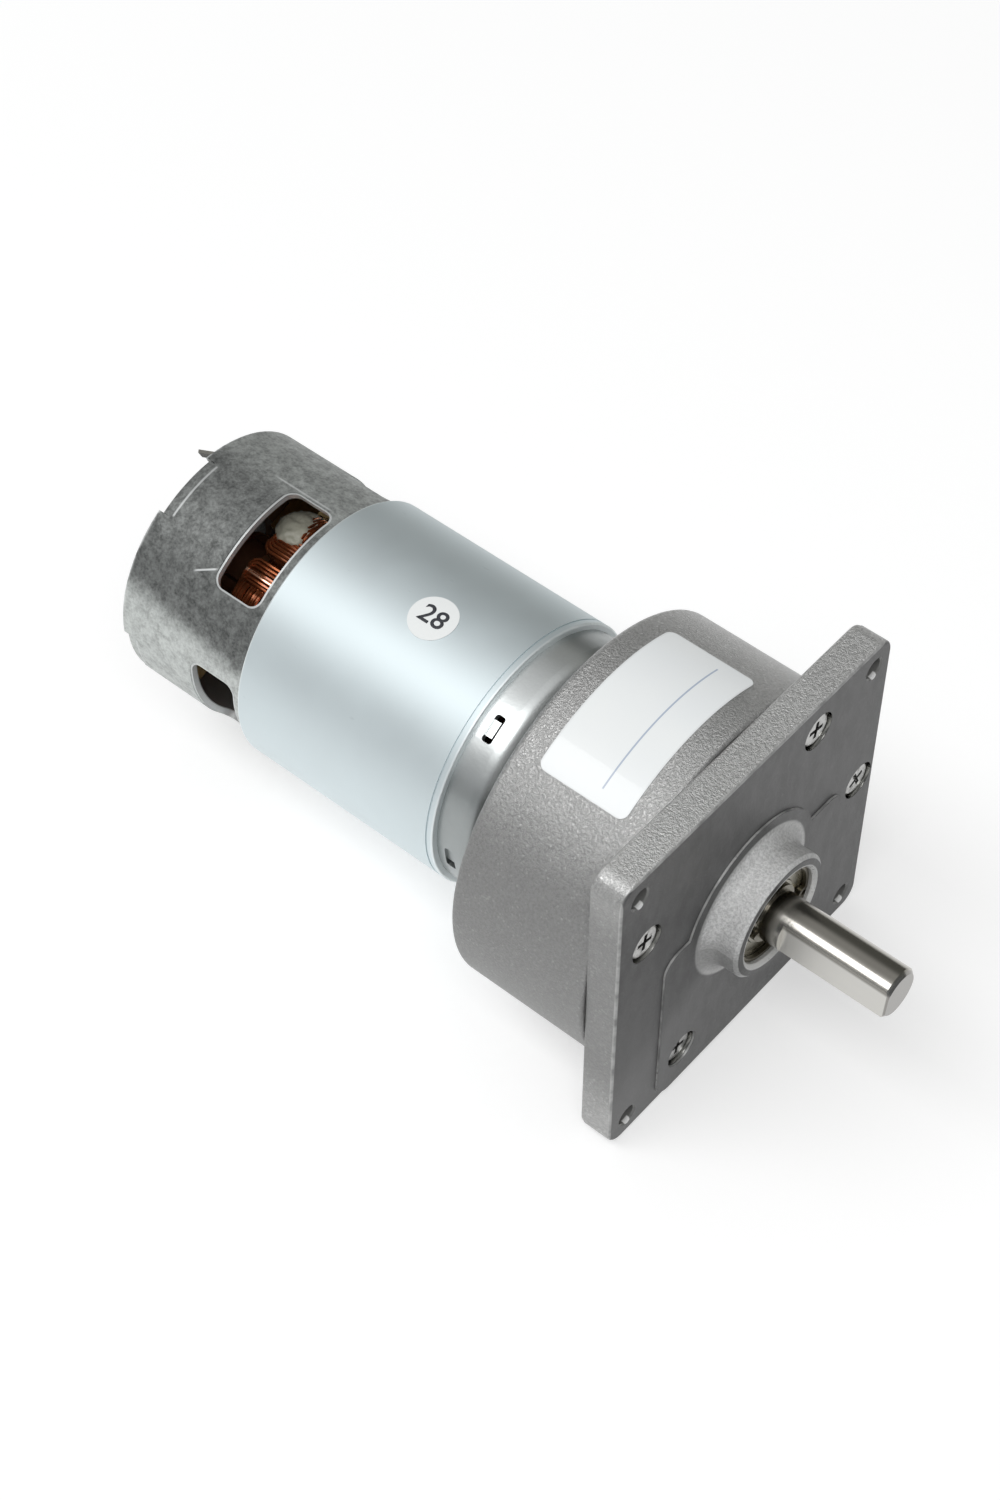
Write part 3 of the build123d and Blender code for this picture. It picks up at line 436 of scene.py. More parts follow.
def rotated_copies(piece, angles, stem):
    """Copies of the piece turned about the shaft's axis, each with its own mesh."""
    made = []
    for number, angle in enumerate(angles):
        twin = piece.copy()
        twin.data = piece.data.copy()
        bpy.context.collection.objects.link(twin)
        twin.name = twin.data.name = f"{stem}_{number + 1}"
        twin.rotation_euler = (radians(angle), 0.0, 0.0)
        settled(twin)
        made.append(twin)
    bpy.data.objects.remove(piece)
    return made


# ---------------------------------------------------------------- finishes
def toned(colour, factor):
    """A colour made darker or lighter."""
    return tuple(min(1.0, value * factor) for value in colour)


def sandy(make, colour):
    """Skin of a die casting: its colour, roughness and height, and the grain and clouds in it."""
    sand = make.noise(0.42, detail=3.0, roughness=0.75).step(0.34, 0.66)
    clouds = make.noise(7.0, detail=4.0)
    # Light specks are painted sparkle, standing in for glints off the grain.
    glint_specks = make.cells(0.75).step(0.34, 0.14) * make.noise(1.6).step(0.40, 0.60)
    base = make.mix(toned(colour, 0.80), toned(colour, 1.28), sand * 0.65 + clouds * 0.35)
    base = make.mix(base, toned(colour, 1.9), glint_specks * 0.45)
    # The flank towards -Y is painted darker, as shade, and is rougher.
    shaded_flank = make.angle().maths("FLOORED_MODULO", 360.0).band(175.0, 25.0, 22.0)
    base = make.mix(base, toned(colour, 0.5), shaded_flank * 0.6)
    rough = 0.33 - glint_specks * 0.08 + clouds * 0.06 + shaded_flank * 0.14
    return base, rough, sand + glint_specks * 0.4, sand, clouds


def cast_housing(colour):
    """Cast cup of the gearbox, painted lighter at its rear edge by wear and an edge highlight, and
    painted dark, as shadow, where the motor sits.
    """
    make = Finish("cast_housing")
    base, rough, height, _, _ = sandy(make, colour)
    # The rear edge is painted lighter in patches: partly wear, partly the highlight on its rounded
    # edge.
    edge = make.radius().step(29.6, 30.3) * make.x.step(-28.9, -29.4)
    worn_and_lit = edge * make.noise(2.0).step(0.45, 0.62) * 0.4
    base = make.mix(base, (0.66, 0.66, 0.65), worn_and_lit)
    # Where the motor sits, the rear face is painted dark, as shadow.
    seat_shadow = make.x.step(-29.55, -29.75)
    base = make.mix(base, (0.06, 0.06, 0.058), seat_shadow * 0.8)
    return make.done(base, rough, 0.75, make.bump(height, 0.055))


def cast_flange(colour, face):
    """Cast square flange: a smoother front face, sandy sides and boss, and drilled holes."""
    make = Finish("cast_flange")
    base, rough, height, sand, clouds = sandy(make, colour)
    # The face, and the flat rim of the boss, which is as smooth.
    rim = make.x.step(5.55, 5.68) * make.radius().step(8.6, 8.75)
    front = (make.x.step(-0.45, -0.05) * make.radius().step(12.4, BOSS_ROOT)).most(rim)
    streaks = make.noise(2.4, detail=4.0, roughness=0.65, along=(1.0, 1.0, 0.5)).step(0.34, 0.66)
    tone = sand * 0.24 + clouds.step(0.36, 0.64) * 0.30 + streaks * 0.46
    smooth = make.mix(toned(face, 0.72), toned(face, 1.28), tone)
    # The face's lower -Y corner is painted lighter, as light reflected there.
    lower = make.y.step(-6.0, -28.0) * make.z.step(16.0, -20.0)
    smooth = make.mix(smooth, toned(face, 1.9), lower * 0.6)
    base = make.mix(base, smooth, front)
    # The upper side of the plate is painted lighter, as light from above, more so towards -Y and
    # broken up by the grain.
    upper = make.z.step(PLATE_HALF - 0.8, PLATE_HALF - 0.3) * (1.0 - front)
    painted_sheen = 0.25 + sand * 0.4 + make.y.step(0.0, -28.0) * 0.25
    base = make.mix(base, toned(colour, 1.7), upper * painted_sheen)
    # The boss keeps the light, sandy skin of the mould; its upper -Y side is painted lighter still,
    # as lit.
    boss = make.radius().step(12.9, 12.4) * (1.0 - rim) * make.x.step(0.3, 0.6)
    lit = make.angle().band(125.0, 30.0, 38.0) * 0.75 + 0.25
    base = make.mix(base, toned(colour, 2.4), boss * lit * (0.42 + sand * 0.40))
    # Corners painted light, partly as wear and partly as edge highlights: the plate's edge, the
    # raised pad's rim and the boss's mouth.
    side = abs(make.y).most(abs(make.z))
    edge = side.step(PLATE_HALF - 0.5, PLATE_HALF - 0.28) * make.x.step(-0.45, -0.28) * 0.65
    ridge = make.x.band(0.2, 0.12, 0.08) * make.radius().step(12.9, 13.4)
    mouth = make.radius().step(BOSS_MOUTH, 8.5) * make.x.step(5.0, 5.2)
    patchy = make.noise(3.0, detail=3.0).step(0.30, 0.62) * 0.5 + 0.3
    worn_and_lit = (edge.most(ridge) * patchy).most(mouth * 0.8)
    base = make.mix(base, (0.78, 0.78, 0.77), worn_and_lit)
    # Drilled holes and counterbores are bare metal.
    corner = ((abs(make.y) - CORNER_HOLE) ** 2.0 + (abs(make.z) - CORNER_HOLE) ** 2.0) ** 0.5
    drilled = corner.step(1.98, 1.86)
    for radius, angle in SCREWS:
        beside = make.y - radius * cos(radians(angle))
        above = make.z - radius * sin(radians(angle))
        drilled = drilled.most((beside * beside + above * above).step(10.3, 9.8))
    drilled = drilled * make.x.step(-0.02, -0.06)
    base = make.mix(base, (0.50, 0.50, 0.48), drilled)
    # The corner holes are painted dark inside, as shade, each with one painted glint just behind
    # its lower lip.
    inside = corner.step(1.98, 1.90)
    base = make.mix(base, (0.16, 0.16, 0.155), inside * 0.85)
    for y in (-CORNER_HOLE, CORNER_HOLE):
        for z in (-CORNER_HOLE, CORNER_HOLE):
            beside = make.y - y - 0.15
            below = make.z - z + 1.5
            spot = (beside * beside + below * below).step(0.50, 0.25)
            base = make.mix(base, (0.97, 0.97, 0.96), spot * make.x.step(-0.75, -0.5))
    rough = rough + front * 0.08 - worn_and_lit * 0.18 - drilled * 0.22 + boss * 0.08
    height = height * (1.0 - front * 0.7) * (1.0 - drilled)
    metallic = 0.75 - boss * 0.55 - front * 0.35 + drilled * 0.6 - inside * 1.3
    return make.done(base, rough, metallic, make.bump(height, 0.055))


def plated_ring():
    """Satin zinc plate with a faint bluish cast and fine rolling marks; its rims are painted
    lighter, as edge highlights.
    """
    make = Finish("plated_ring")
    clouds = make.noise(9.0, detail=3.0)
    lines = make.noise(0.25, detail=1.0, along=(1.0, 0.06, 0.06))
    colour = tuple(settings().ring_colour)
    base = make.mix(toned(colour, 0.95), toned(colour, 1.03), clouds)
    scuffs = make.noise(1.1, detail=4.0, along=(0.35, 1.0, 1.0)).step(0.70, 0.78)
    base = make.mix(base, (0.55, 0.60, 0.62), scuffs * 0.18)
    # The rims are painted lighter, as highlights on the ring's edges.
    rim = abs(make.x - RING_MIDDLE).step(18.7, 19.1)
    base = make.mix(base, (0.95, 0.98, 0.98), rim * 0.6)
    rough = 0.56 + clouds * 0.06 + scuffs * 0.08
    return make.done(base, rough, 1.0, make.bump(lines * 0.5 + clouds, 0.005))


def galvanised():
    """Mottled zinc-coated sheet; the rims round the windows are painted light by wear and edge
    highlights, and the drawn creases by painted highlights.
    """
    make = Finish("galvanised_can")
    colour = tuple(settings().can_colour)
    turn = make.angle()
    cells = make.cells(1.3, output="Color")
    spangle = make.node("ShaderNodeSeparateColor", inputs={"Color": cells}, output="Red")
    clouds = make.noise(1.7, detail=5.0, roughness=0.68)
    drifts = make.noise(9.0, detail=3.0)
    fine = make.noise(0.5, detail=3.0, roughness=0.65)
    mottle = spangle * 0.20 + clouds.step(0.38, 0.62) * 0.34
    mottle = mottle + fine.step(0.34, 0.66) * 0.36 + drifts * 0.10
    base = make.mix(toned(colour, 0.52), toned(colour, 1.48), mottle)
    # The plain neck in front of the flux ring is cleaner, and shaded on both sides.
    neck = make.x.step(NECK_REAR - 5.0, NECK_REAR)
    body = 1.0 - neck
    shaded = abs(turn).step(138.0, 152.0).most(turn.step(78.0, 66.0) * turn.step(-20.0, 0.0))
    base = make.mix(base, (0.80, 0.83, 0.83), neck * 0.85)
    base = make.mix(base, (0.28, 0.30, 0.30), neck * shaded * 0.85)
    # A darker band runs aslant beside the windows; past it, and on the lower side, the flank is
    # painted lighter, as a reflection of the floor.
    leaning = turn - (make.x + 92.0) * 0.4
    darker_band = make.mix(toned(colour, 0.16), toned(colour, 0.72), mottle)
    base = make.mix(base, darker_band, leaning.band(123.0, 28.5, 18.0) * body * 0.92)
    thin = leaning.step(151.0, 165.0).most(turn.step(-60.0, -70.0))
    base = make.mix(base, toned(colour, 2.2), thin * (0.35 + mottle * 0.5) * body)
    # Distance outside the nearest window, from the arc and the length beyond its corners.
    arc = (make.quarter(WINDOW_TURN) * radians(CAN_RADIUS) - 7.83).most(0.0)
    length = (abs(make.x - WINDOW_MIDDLE) - 2.5).most(0.0)
    outside = (arc * arc + length * length) ** 0.5 - WINDOW_CORNER
    rim = outside.band(0.16, 0.12, 0.14) * make.radius().step(20.3, 20.8)
    wall = make.radius().step(20.75, 20.6) * make.x.band(WINDOW_MIDDLE, 4.6, 0.6)
    # Creases drawn in the sheet, and a line just inside each notch of the crimped end, both painted
    # light as highlights.
    rear = make.x.step(-102.9, -103.3) * make.noise(1.2).step(0.34, 0.58)
    crease = turn.band(80.1, 0.15, 0.6) * make.x.band(-87.2, 4.6, 1.6) * 0.6
    slant = (turn + make.x * 1.6).band(-14.3, 0.2, 0.5) * make.x.band(-91.1, 1.2, 0.8)
    crimp = make.x.band(-100.7, 0.10, 0.14) * make.quarter(NOTCH_TURN).step(14.5, 13.5) * 0.5
    inside = make.radius().step(CAN_INSIDE, CAN_INSIDE - 0.07) * make.x.step(-101.2, -101.0)
    cut = wall * (1.0 - inside)
    # The windows' rims and the rear rim are painted light, partly as wear and partly as edge
    # highlights; the windows' cut walls are painted light, as lit.
    lit_and_worn_lines = (rim * 0.7).most(rear * 0.7, crease, slant * 0.8, crimp, cut * 0.8)
    base = make.mix(base, (0.82, 0.84, 0.84), lit_and_worn_lines)
    base = make.mix(base, (0.40, 0.41, 0.40), inside)
    rough = 0.56 - mottle * 0.08 + fine * 0.05 - lit_and_worn_lines * 0.10 - neck * 0.18
    height = clouds * 0.5 + fine * 0.4 + lit_and_worn_lines * 0.3
    return make.done(base, rough, 0.55 + neck * 0.4, make.bump(height, 0.03))


def metal(name, colour, rough, stain=None, along=None, grain=0.4, depth=0.004, patch=3.0,
          metallic=1.0):
    """A plain metal with its own grain; stain is a second colour that clouds over it."""
    make = Finish(name)
    lines = make.noise(grain, detail=3.0, along=along)
    clouds = make.noise(patch, detail=4.0)
    base = make.mix(toned(colour, 0.86), toned(colour, 1.12), lines)
    if stain:
        base = make.mix(base, stain, clouds.step(0.46, 0.72) * 0.8)
    rough = rough + (lines - 0.5) * 0.16 + (clouds - 0.5) * 0.14
    return make.done(base, rough, metallic, make.bump(lines, depth))


def polished_shaft():
    """Ground steel; the milled flat is duller and lighter, and the end is darker."""
    make = Finish("polished_shaft")
    lines = make.noise(0.22, detail=2.0, along=(1.0, 0.05, 0.05))
    clouds = make.noise(4.0, detail=3.0)
    base = make.mix((0.42, 0.405, 0.37), (0.54, 0.525, 0.49), lines * 0.5 + clouds * 0.5)
    # Along the top of the round part a band is painted dark, as a dark reflection.
    film = make.angle().band(82.0, 20.0, 16.0)
    base = make.mix(base, (0.20, 0.19, 0.165), film * 0.7)
    turn = radians(FLAT_TURN)
    outwards = make.y * cos(turn) + make.z * sin(turn)
    upwards = make.y * sin(turn) - make.z * cos(turn)
    flat = outwards.step(2.93, 2.99) * make.x.step(7.8, 8.1)
    base = make.mix(base, (0.62, 0.61, 0.58), flat)
    # The flat's upper edge is painted dark, as shade.
    base = make.mix(base, (0.20, 0.19, 0.17), flat * upwards.step(1.7, 2.3) * 0.8)
    base = make.mix(base, (0.31, 0.30, 0.285), make.x.step(25.55, 25.7))
    rough = 0.15 + clouds * 0.06 + flat * 0.16
    return make.done(base, rough, 1.0, make.bump(lines, 0.003))


def lamination():
    """Steel sheets half a millimetre thick, stacked along the shaft."""
    make = Finish("lamination_steel")
    sheets = (make.x * 2.0).maths("FRACT")
    joint = abs(sheets - 0.5).step(0.36, 0.48)
    clouds = make.noise(2.0, detail=4.0)
    base = make.mix((0.30, 0.30, 0.31), (0.46, 0.46, 0.47), clouds)
    base = make.mix(base, (0.10, 0.085, 0.075), joint * 0.7)
    return make.done(base, 0.42 + clouds * 0.12, 0.9, make.bump(1.0 - joint, 0.03))


def enamelled_wire():
    """Glossy enamelled copper, with a painted highlight along one turn."""
    make = Finish("copper_wire")
    colour = tuple(settings().wire_colour)
    tone = make.noise(1.6, detail=2.0, along=(0.12, 1.0, 1.0))
    base = make.mix(toned(colour, 0.55), toned(colour, 1.5), tone.step(0.3, 0.7))
    # A painted highlight runs along the crown of one turn.
    painted_sheen = make.angle().band(121.6, 0.8, 0.4) * make.x.step(-81.0, -82.0)
    painted_sheen = painted_sheen * make.radius().step(12.9, 13.2)
    base = make.mix(base, (1.0, 0.66, 0.48), painted_sheen)
    return make.done(base, 0.18 + tone * 0.10, 0.85, make.bump(tone, 0.01), Coat_Weight=0.9)


def moulded(name, colour, rough, depth=0.01, grain=0.3, coat=0.0, contrast=0.2):
    """A non-metal with clouds of tone and a fine grain."""
    make = Finish(name)
    fine = make.noise(grain, detail=3.0, roughness=0.6)
    clouds = make.noise(2.5, detail=4.0)
    tone = clouds * 0.6 + fine * 0.4
    base = make.mix(toned(colour, 1.0 - contrast), toned(colour, 1.0 + contrast), tone)
    rough = rough + (fine - 0.5) * 0.2
    return make.done(base, rough, 0.0, make.bump(fine, depth), Coat_Weight=coat)


def commutator_bars():
    """Turned copper with the darker track that the brushes leave."""
    make = Finish("commutator_copper")
    lines = make.noise(0.15, detail=2.0, along=(1.0, 0.04, 0.04))
    track = make.x.band(-95.2, 1.9, 0.3)
    base = make.mix((0.66, 0.34, 0.20), (0.84, 0.50, 0.32), lines)
    base = make.mix(base, (0.24, 0.12, 0.08), track * 0.75)
    return make.done(base, 0.32 + track * 0.12, 1.0, make.bump(lines, 0.004))


def rating_label():
    """Glossy white film with one thin printed rule; the rest of it is left bare."""
    make = Finish("label_film")
    clouds = make.noise(11.0, detail=1.0)
    fine = make.noise(0.8, detail=2.0)
    base = make.mix((0.86, 0.89, 0.91), (0.92, 0.94, 0.93), clouds)
    turn = make.angle()
    rule = make.x.band(-15.1, 0.10, 0.06) * turn.band(LABEL_TURN, 24.0, 0.4)
    base = make.mix(base, (0.30, 0.38, 0.52), rule * 0.75)
    edge = abs(make.x - LABEL_MIDDLE).step(7.1, 7.5).most(abs(turn - LABEL_TURN).step(27.9, 28.5))
    base = make.mix(base, (0.70, 0.72, 0.72), edge * 0.5)
    return make.done(base, 0.30 + fine * 0.08, 0.0, make.bump(clouds, 0.02), Coat_Weight=0.35)


def sticker_paper():
    """White paper with a fine fibre."""
    make = Finish("sticker_paper")
    fibre = make.noise(0.25, detail=4.0, roughness=0.7)
    base = make.mix((0.84, 0.87, 0.87), (0.92, 0.93, 0.92), fibre)
    return make.done(base, 0.55 + fibre * 0.1, 0.0, make.bump(fibre, 0.01))


# ---------------------------------------------------------------- operators
class GEARMOTOR_OT_castings(bpy.types.Operator):
    """Finishes the cast flange and the gear housing"""

    bl_idname = "gear_motor.castings"
    bl_label = "Castings"

    def execute(self, context):
        colour = tuple(settings().casting_colour)
        dress(["front_flange"], cast_flange(colour, tuple(settings().face_colour)))
        dress(["gear_housing"], cast_housing(colour))
        return {"FINISHED"}


class GEARMOTOR_OT_shell(bpy.types.Operator):
    """Finishes the motor can, its rear cover, the flux ring and the terminals"""

    bl_idname = "gear_motor.shell"
    bl_label = "Motor shell"

    def execute(self, context):
        dress(["motor_can", "rear_cover"], galvanised())
        dress(["flux_ring"], plated_ring())
        tinned = metal(
            "tinned_terminal", (0.13, 0.125, 0.11), 0.55, (0.07, 0.065, 0.06), metallic=0.4
        )
        dress(["terminal_a", "terminal_b"], tinned)
        return {"FINISHED"}


class GEARMOTOR_OT_hardware(bpy.types.Operator):
    """Finishes shafts, bearings, rings, screws and gears"""

    bl_idname = "gear_motor.hardware"
    bl_label = "Shafts, bearings and gears"

    def execute(self, context):
        shafts = ["output_shaft", "armature_shaft", "idler_pin_a", "idler_pin_b", "output_gear_key"]
        dress(shafts, polished_shaft())
        screws = metal(
            "screw_steel", (0.48, 0.48, 0.47), 0.30, (0.20, 0.20, 0.19), depth=0.02, patch=0.8
        )
        dress(["flange_screws", "motor_screws"], screws)
        bearing = metal(
            "bearing_steel", (0.27, 0.255, 0.205), 0.24, (0.12, 0.10, 0.055), along=(1.0, 0.1, 0.1)
        )
        for side in ("front", "rear"):
            parts = ("outer_ring", "inner_ring", "shields", "balls")
            dress([f"{side}_bearing_{part}" for part in parts], bearing)
        nylon = moulded("cage_nylon", (0.72, 0.68, 0.56), 0.5)
        dress(["front_bearing_cage", "rear_bearing_cage"], nylon)
        spring = metal("spring_steel", (0.17, 0.155, 0.12), 0.30, (0.08, 0.065, 0.035))
        dress(["bearing_spacer", "bore_circlip", "shaft_snap_ring"], spring)
        dress(["brush_spring_a", "brush_spring_b", "magnet_clips"], spring)
        bronze = metal("bush_bronze", (0.52, 0.36, 0.20), 0.46, grain=0.2, depth=0.02)
        dress(["idler_sleeves_a", "idler_sleeves_b", "front_bush", "rear_bush"], bronze)
        gear = metal(
            "gear_steel", (0.46, 0.46, 0.45), 0.34, (0.34, 0.27, 0.14), along=(0.3, 1.0, 1.0)
        )
        dress(["idler_gear_a", "idler_gear_b", "output_gear", "output_gear_spacer"], gear)
        brass = metal("pinion_brass", (0.74, 0.56, 0.27), 0.30, (0.42, 0.30, 0.13))
        dress(["motor_pinion"], brass)
        return {"FINISHED"}


class GEARMOTOR_OT_rotor(bpy.types.Operator):
    """Finishes the magnets, armature core, commutator and brush gear"""

    bl_idname = "gear_motor.rotor"
    bl_label = "Magnets, armature and brushes"

    def execute(self, context):
        ferrite = moulded("ferrite", (0.055, 0.055, 0.06), 0.62, depth=0.03, contrast=0.35)
        dress(["magnet_a", "magnet_b"], ferrite)
        dress(["armature_core"], lamination())
        fibre = moulded("red_fibre", (0.34, 0.055, 0.035), 0.55, depth=0.02)
        dress(["insulator_front", "insulator_back", "thrust_washers"], fibre)
        phenolic = moulded("phenolic", (0.17, 0.09, 0.045), 0.42, coat=0.2)
        dress(["commutator_hub", "shaft_sleeve", "brush_card"], phenolic)
        dress(["commutator_bars"], commutator_bars())
        carbon = moulded("carbon", (0.035, 0.035, 0.038), 0.48, depth=0.02, contrast=0.4)
        dress(["brush_a", "brush_b"], carbon)
        brass = metal("holder_brass", (0.70, 0.52, 0.24), 0.33, (0.44, 0.29, 0.12))
        dress(["brush_holder_a", "brush_holder_b"], brass)
        return {"FINISHED"}


class GEARMOTOR_OT_coils(bpy.types.Operator):
    """Winds the five coils of the armature and lays the putty on one of them"""

    bl_idname = "gear_motor.coils"
    bl_label = "Wound coils"

    def execute(self, context):
        self.wire = settings().wire_diameter / MM
        self.chance = random.Random(28)
        low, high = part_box("armature_windings")
        self.back, self.front = low[0] / MM, high[0] / MM
        self.outer = high[2] / MM
        copper = enamelled_wire()
        coil = joined("wound_coil", [thickened(turn, self.wire) for turn in self.turns()])
        angles = [360.0 / POLES * pole for pole in range(1, POLES + 1)]
        coils = rotated_copies(coil, angles, "wound_coil")
        filling = likeness("armature_windings", "coil_filling")
        finished(filling, "DISPLACE", strength=-self.wire / 2 * MM, mid_level=0.0)
        settled(filling)
        for piece in (*coils, filling):
            coated(piece, copper)
            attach(piece, "armature")
            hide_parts("armature_windings")
        self.putty()
        return {"FINISHED"}

    def turns(self):
        """Turns of wire round a pole that points along +Y."""
        made = []
        # The upper layer lies side by side on the slot and is stacked three deep past the core.
        for count in range(UPPER_TURNS):
            half = UPPER_HALF + UPPER_PITCH * count
            back = self.back + 1.1 - 0.12 * count
            front = self.front - 1.1 + 0.12 * count
            made.append(self.turn(half, back, front, 0.9 + 0.1 * count, STACK_DIP * (count % 3)))
        # The lower layers show only on the flank that faces the next coil.
        for count in range(LOWER_TURNS):
            radius = LOWER_RADIUS - LOWER_PITCH * count
            half = (radius - SECTOR_POINT) * SECTOR_SLOPE - self.wire / 2
            made.append(self.turn(half, self.back + 0.3, self.front - 0.3, 3.0, 0.0, radius))
        # Short spans fill the hollow over the stem at both ends.
        for count in range(REAR_SPANS):
            made.append(self.span(self.back + 9.1 - REAR_SPAN_PITCH * count))
        for count in range(FRONT_SPANS):
            made.append(self.span(self.front - 6.0 + FRONT_SPAN_PITCH * count))
        return made

    def arch(self, across, dip, half):
        """Height of a wire's middle on the coil's round outside, less a dip at its crown."""
        height = sqrt(self.outer ** 2 - across ** 2) - self.wire / 2 - 0.01
        return height - dip * (1.0 - (across / half) ** 2)

    def turn(self, half, back, front, corner, dip, flat=None):
        """One turn: its half width, its two ends, its corner radius and the dip at its crown."""
        jitter = self.chance.uniform(-0.05, 0.05)
        middle = (back + front) / 2
        corner = min(corner, half - 0.3)
        turn = started(
            "turn", bpy.ops.mesh.primitive_circle_add, vertices=32, radius=corner * MM,
            rotation=(pi / 2, 0.0, 0.0), location=(middle * MM, 0.0, 0.0),
        )
        stretch = (front - back) / 2 - corner + jitter
        slack = 0.001 * MM
        nudge(turn, lambda co: co.x > middle * MM + slack, x=stretch)
        nudge(turn, lambda co: co.x < middle * MM - slack, x=-stretch)
        nudge(turn, lambda co: co.z > slack, z=half - corner)
        nudge(turn, lambda co: co.z < -slack, z=corner - half)
        mesh = bmesh.from_edit_mesh(turn.data)
        for across in sorted({round(abs(vert.co.z) / MM, 3) for vert in mesh.verts}):
            height = flat if flat else self.arch(across, dip, half)
            nudge(turn, lambda co: abs(abs(co.z) / MM - across) < 0.002, y=height)
        if not flat:
            # Behind the core the turns swell outwards.
            for station in (self.back + SWELL_START, self.back + SWELL_END):
                bpy.ops.mesh.select_all(action="SELECT")
                bpy.ops.mesh.bisect(plane_co=(station * MM, 0.0, 0.0), plane_no=(1.0, 0.0, 0.0))
            nudge(turn, lambda co: co.x < (self.back + SWELL_END + 0.1) * MM, y=SWELL)
        bpy.ops.object.mode_set(mode="OBJECT")
        return turn

    def span(self, x):
        """One wire that crosses the stem, its two ends sunk in the coil."""
        x += self.chance.uniform(-0.06, 0.06)
        lean = self.chance.uniform(-0.25, 0.25)
        reach = (self.back + SWELL_START - x) / (SWELL_START - SWELL_END)
        height = self.outer - self.wire / 2 - 1.3 + SWELL * min(1.0, max(0.0, reach))
        span = started(
            "span", bpy.ops.mesh.primitive_circle_add, vertices=20, radius=3.4 * MM,
            rotation=(0.0, pi / 2, 0.0), location=(x * MM, 0.0, 0.0),
        )
        choose(span, "verts", lambda co: co.y < -0.001 * MM)
        bpy.ops.mesh.delete(type="VERT")
        bpy.ops.mesh.select_all(action="SELECT")
        bpy.ops.transform.resize(value=(1.0, 0.38, 1.0))
        bpy.ops.transform.translate(value=(0.0, height * MM, 0.0))
        nudge(span, lambda co: co.z > 1.5 * MM, x=lean)
        nudge(span, lambda co: co.z < -1.5 * MM, x=-lean)
        bpy.ops.object.mode_set(mode="OBJECT")
        return span

    def putty(self):
        """A lumpy dab of balancing putty, laid on the wires behind the core."""
        low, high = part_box("balance_putty")
        length = (high[0] - low[0]) / MM
        blob = started(
            "putty_dab", bpy.ops.mesh.primitive_ico_sphere_add, subdivisions=5, radius=1.0 * MM
        )
        bpy.ops.mesh.select_all(action="SELECT")
        bpy.ops.transform.resize(value=(length / 2 + 0.6, 4.4, 1.95))
        # Its underside sits flat on the wires.
        sole = -0.35 * MM
        choose(blob, "verts", lambda co: co.z < sole)
        bpy.ops.transform.resize(value=(1.0, 1.0, 0.35), center_override=(0.0, 0.0, sole))
        nudge(blob, lambda co: co.x > 1.1 * MM and co.y > 0.6 * MM, z=-0.25)
        nudge(blob, lambda co: co.y < -2.0 * MM, z=-0.2)
        bpy.ops.mesh.select_all(action="SELECT")
        bpy.ops.mesh.vertices_smooth(factor=0.5, repeat=8)
        bpy.ops.object.mode_set(mode="OBJECT")
        lumps = bpy.data.textures.new("putty_lumps", "CLOUDS")
        lumps.noise_scale = 1.3 * MM
        lumps.noise_depth = 2
        finished(
            blob, "DISPLACE", texture=lumps, texture_coords="LOCAL", strength=0.75 * MM,
            mid_level=0.5,
        )
        turn = radians(PUTTY_TURN)
        radius = PUTTY_RADIUS * MM
        blob.location = ((low[0] + high[0]) / 2 - 0.25 * MM, radius * cos(turn), radius * sin(turn))
        blob.rotation_euler = (turn - pi / 2, 0.0, 0.0)
        settled(blob, 60.0)
        coated(blob, moulded("putty_dab", (0.36, 0.355, 0.29), 0.45, depth=0.05, grain=0.8))
        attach(blob, "armature")
        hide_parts("balance_putty")


class GEARMOTOR_OT_digits(bpy.types.Operator):
    """Prints the plain number on the round sticker"""

    bl_idname = "gear_motor.digits"
    bl_label = "Sticker number"

    def execute(self, context):
        low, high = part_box("round_sticker")
        put_down()
        bpy.ops.object.text_add()
        text = bpy.context.object
        text.data.body = settings().sticker_digits
        text.data.size = 4.5 * MM
        text.data.offset = 0.05 * MM
        text.data.align_x = "CENTER"
        text.data.align_y = "CENTER"
        text.data.resolution_u = 4
        bpy.ops.object.convert(target="MESH")
        digits = bpy.context.object
        digits.name = digits.data.name = "sticker_number"
        bpy.ops.object.mode_set(mode="EDIT")
        bpy.ops.mesh.select_all(action="SELECT")
        bpy.ops.mesh.remove_doubles(threshold=0.005 * MM)
        bpy.ops.mesh.quads_convert_to_tris()
        bpy.ops.mesh.subdivide(number_cuts=2)
        bpy.ops.object.mode_set(mode="OBJECT")
        # The number hangs over the sticker and is then shrunk on to its round face.
        turn = radians(STICKER_TURN)
        radius = high[2] / sin(turn) + 0.5 * MM
        digits.location = ((low[0] + high[0]) / 2, radius * cos(turn), radius * sin(turn))
        digits.rotation_euler = (turn - pi / 2, 0.0, 0.0)
        settled(digits)
        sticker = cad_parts["round_sticker"]
        finished(digits, "SHRINKWRAP", target=sticker, offset=0.02 * MM)
        finished(digits, "SOLIDIFY", thickness=0.015 * MM, offset=0.0)
        coated(digits, moulded("grey_ink", (0.035, 0.037, 0.045), 0.5, depth=0.004))
        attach(digits, "housing")
        return {"FINISHED"}


class GEARMOTOR_OT_labels(bpy.types.Operator):
    """Finishes the label and the round sticker"""

    bl_idname = "gear_motor.labels"
    bl_label = "Label and sticker"

    def execute(self, context):
        dress(["rating_label"], rating_label())
        dress(["round_sticker"], sticker_paper())
        return {"FINISHED"}


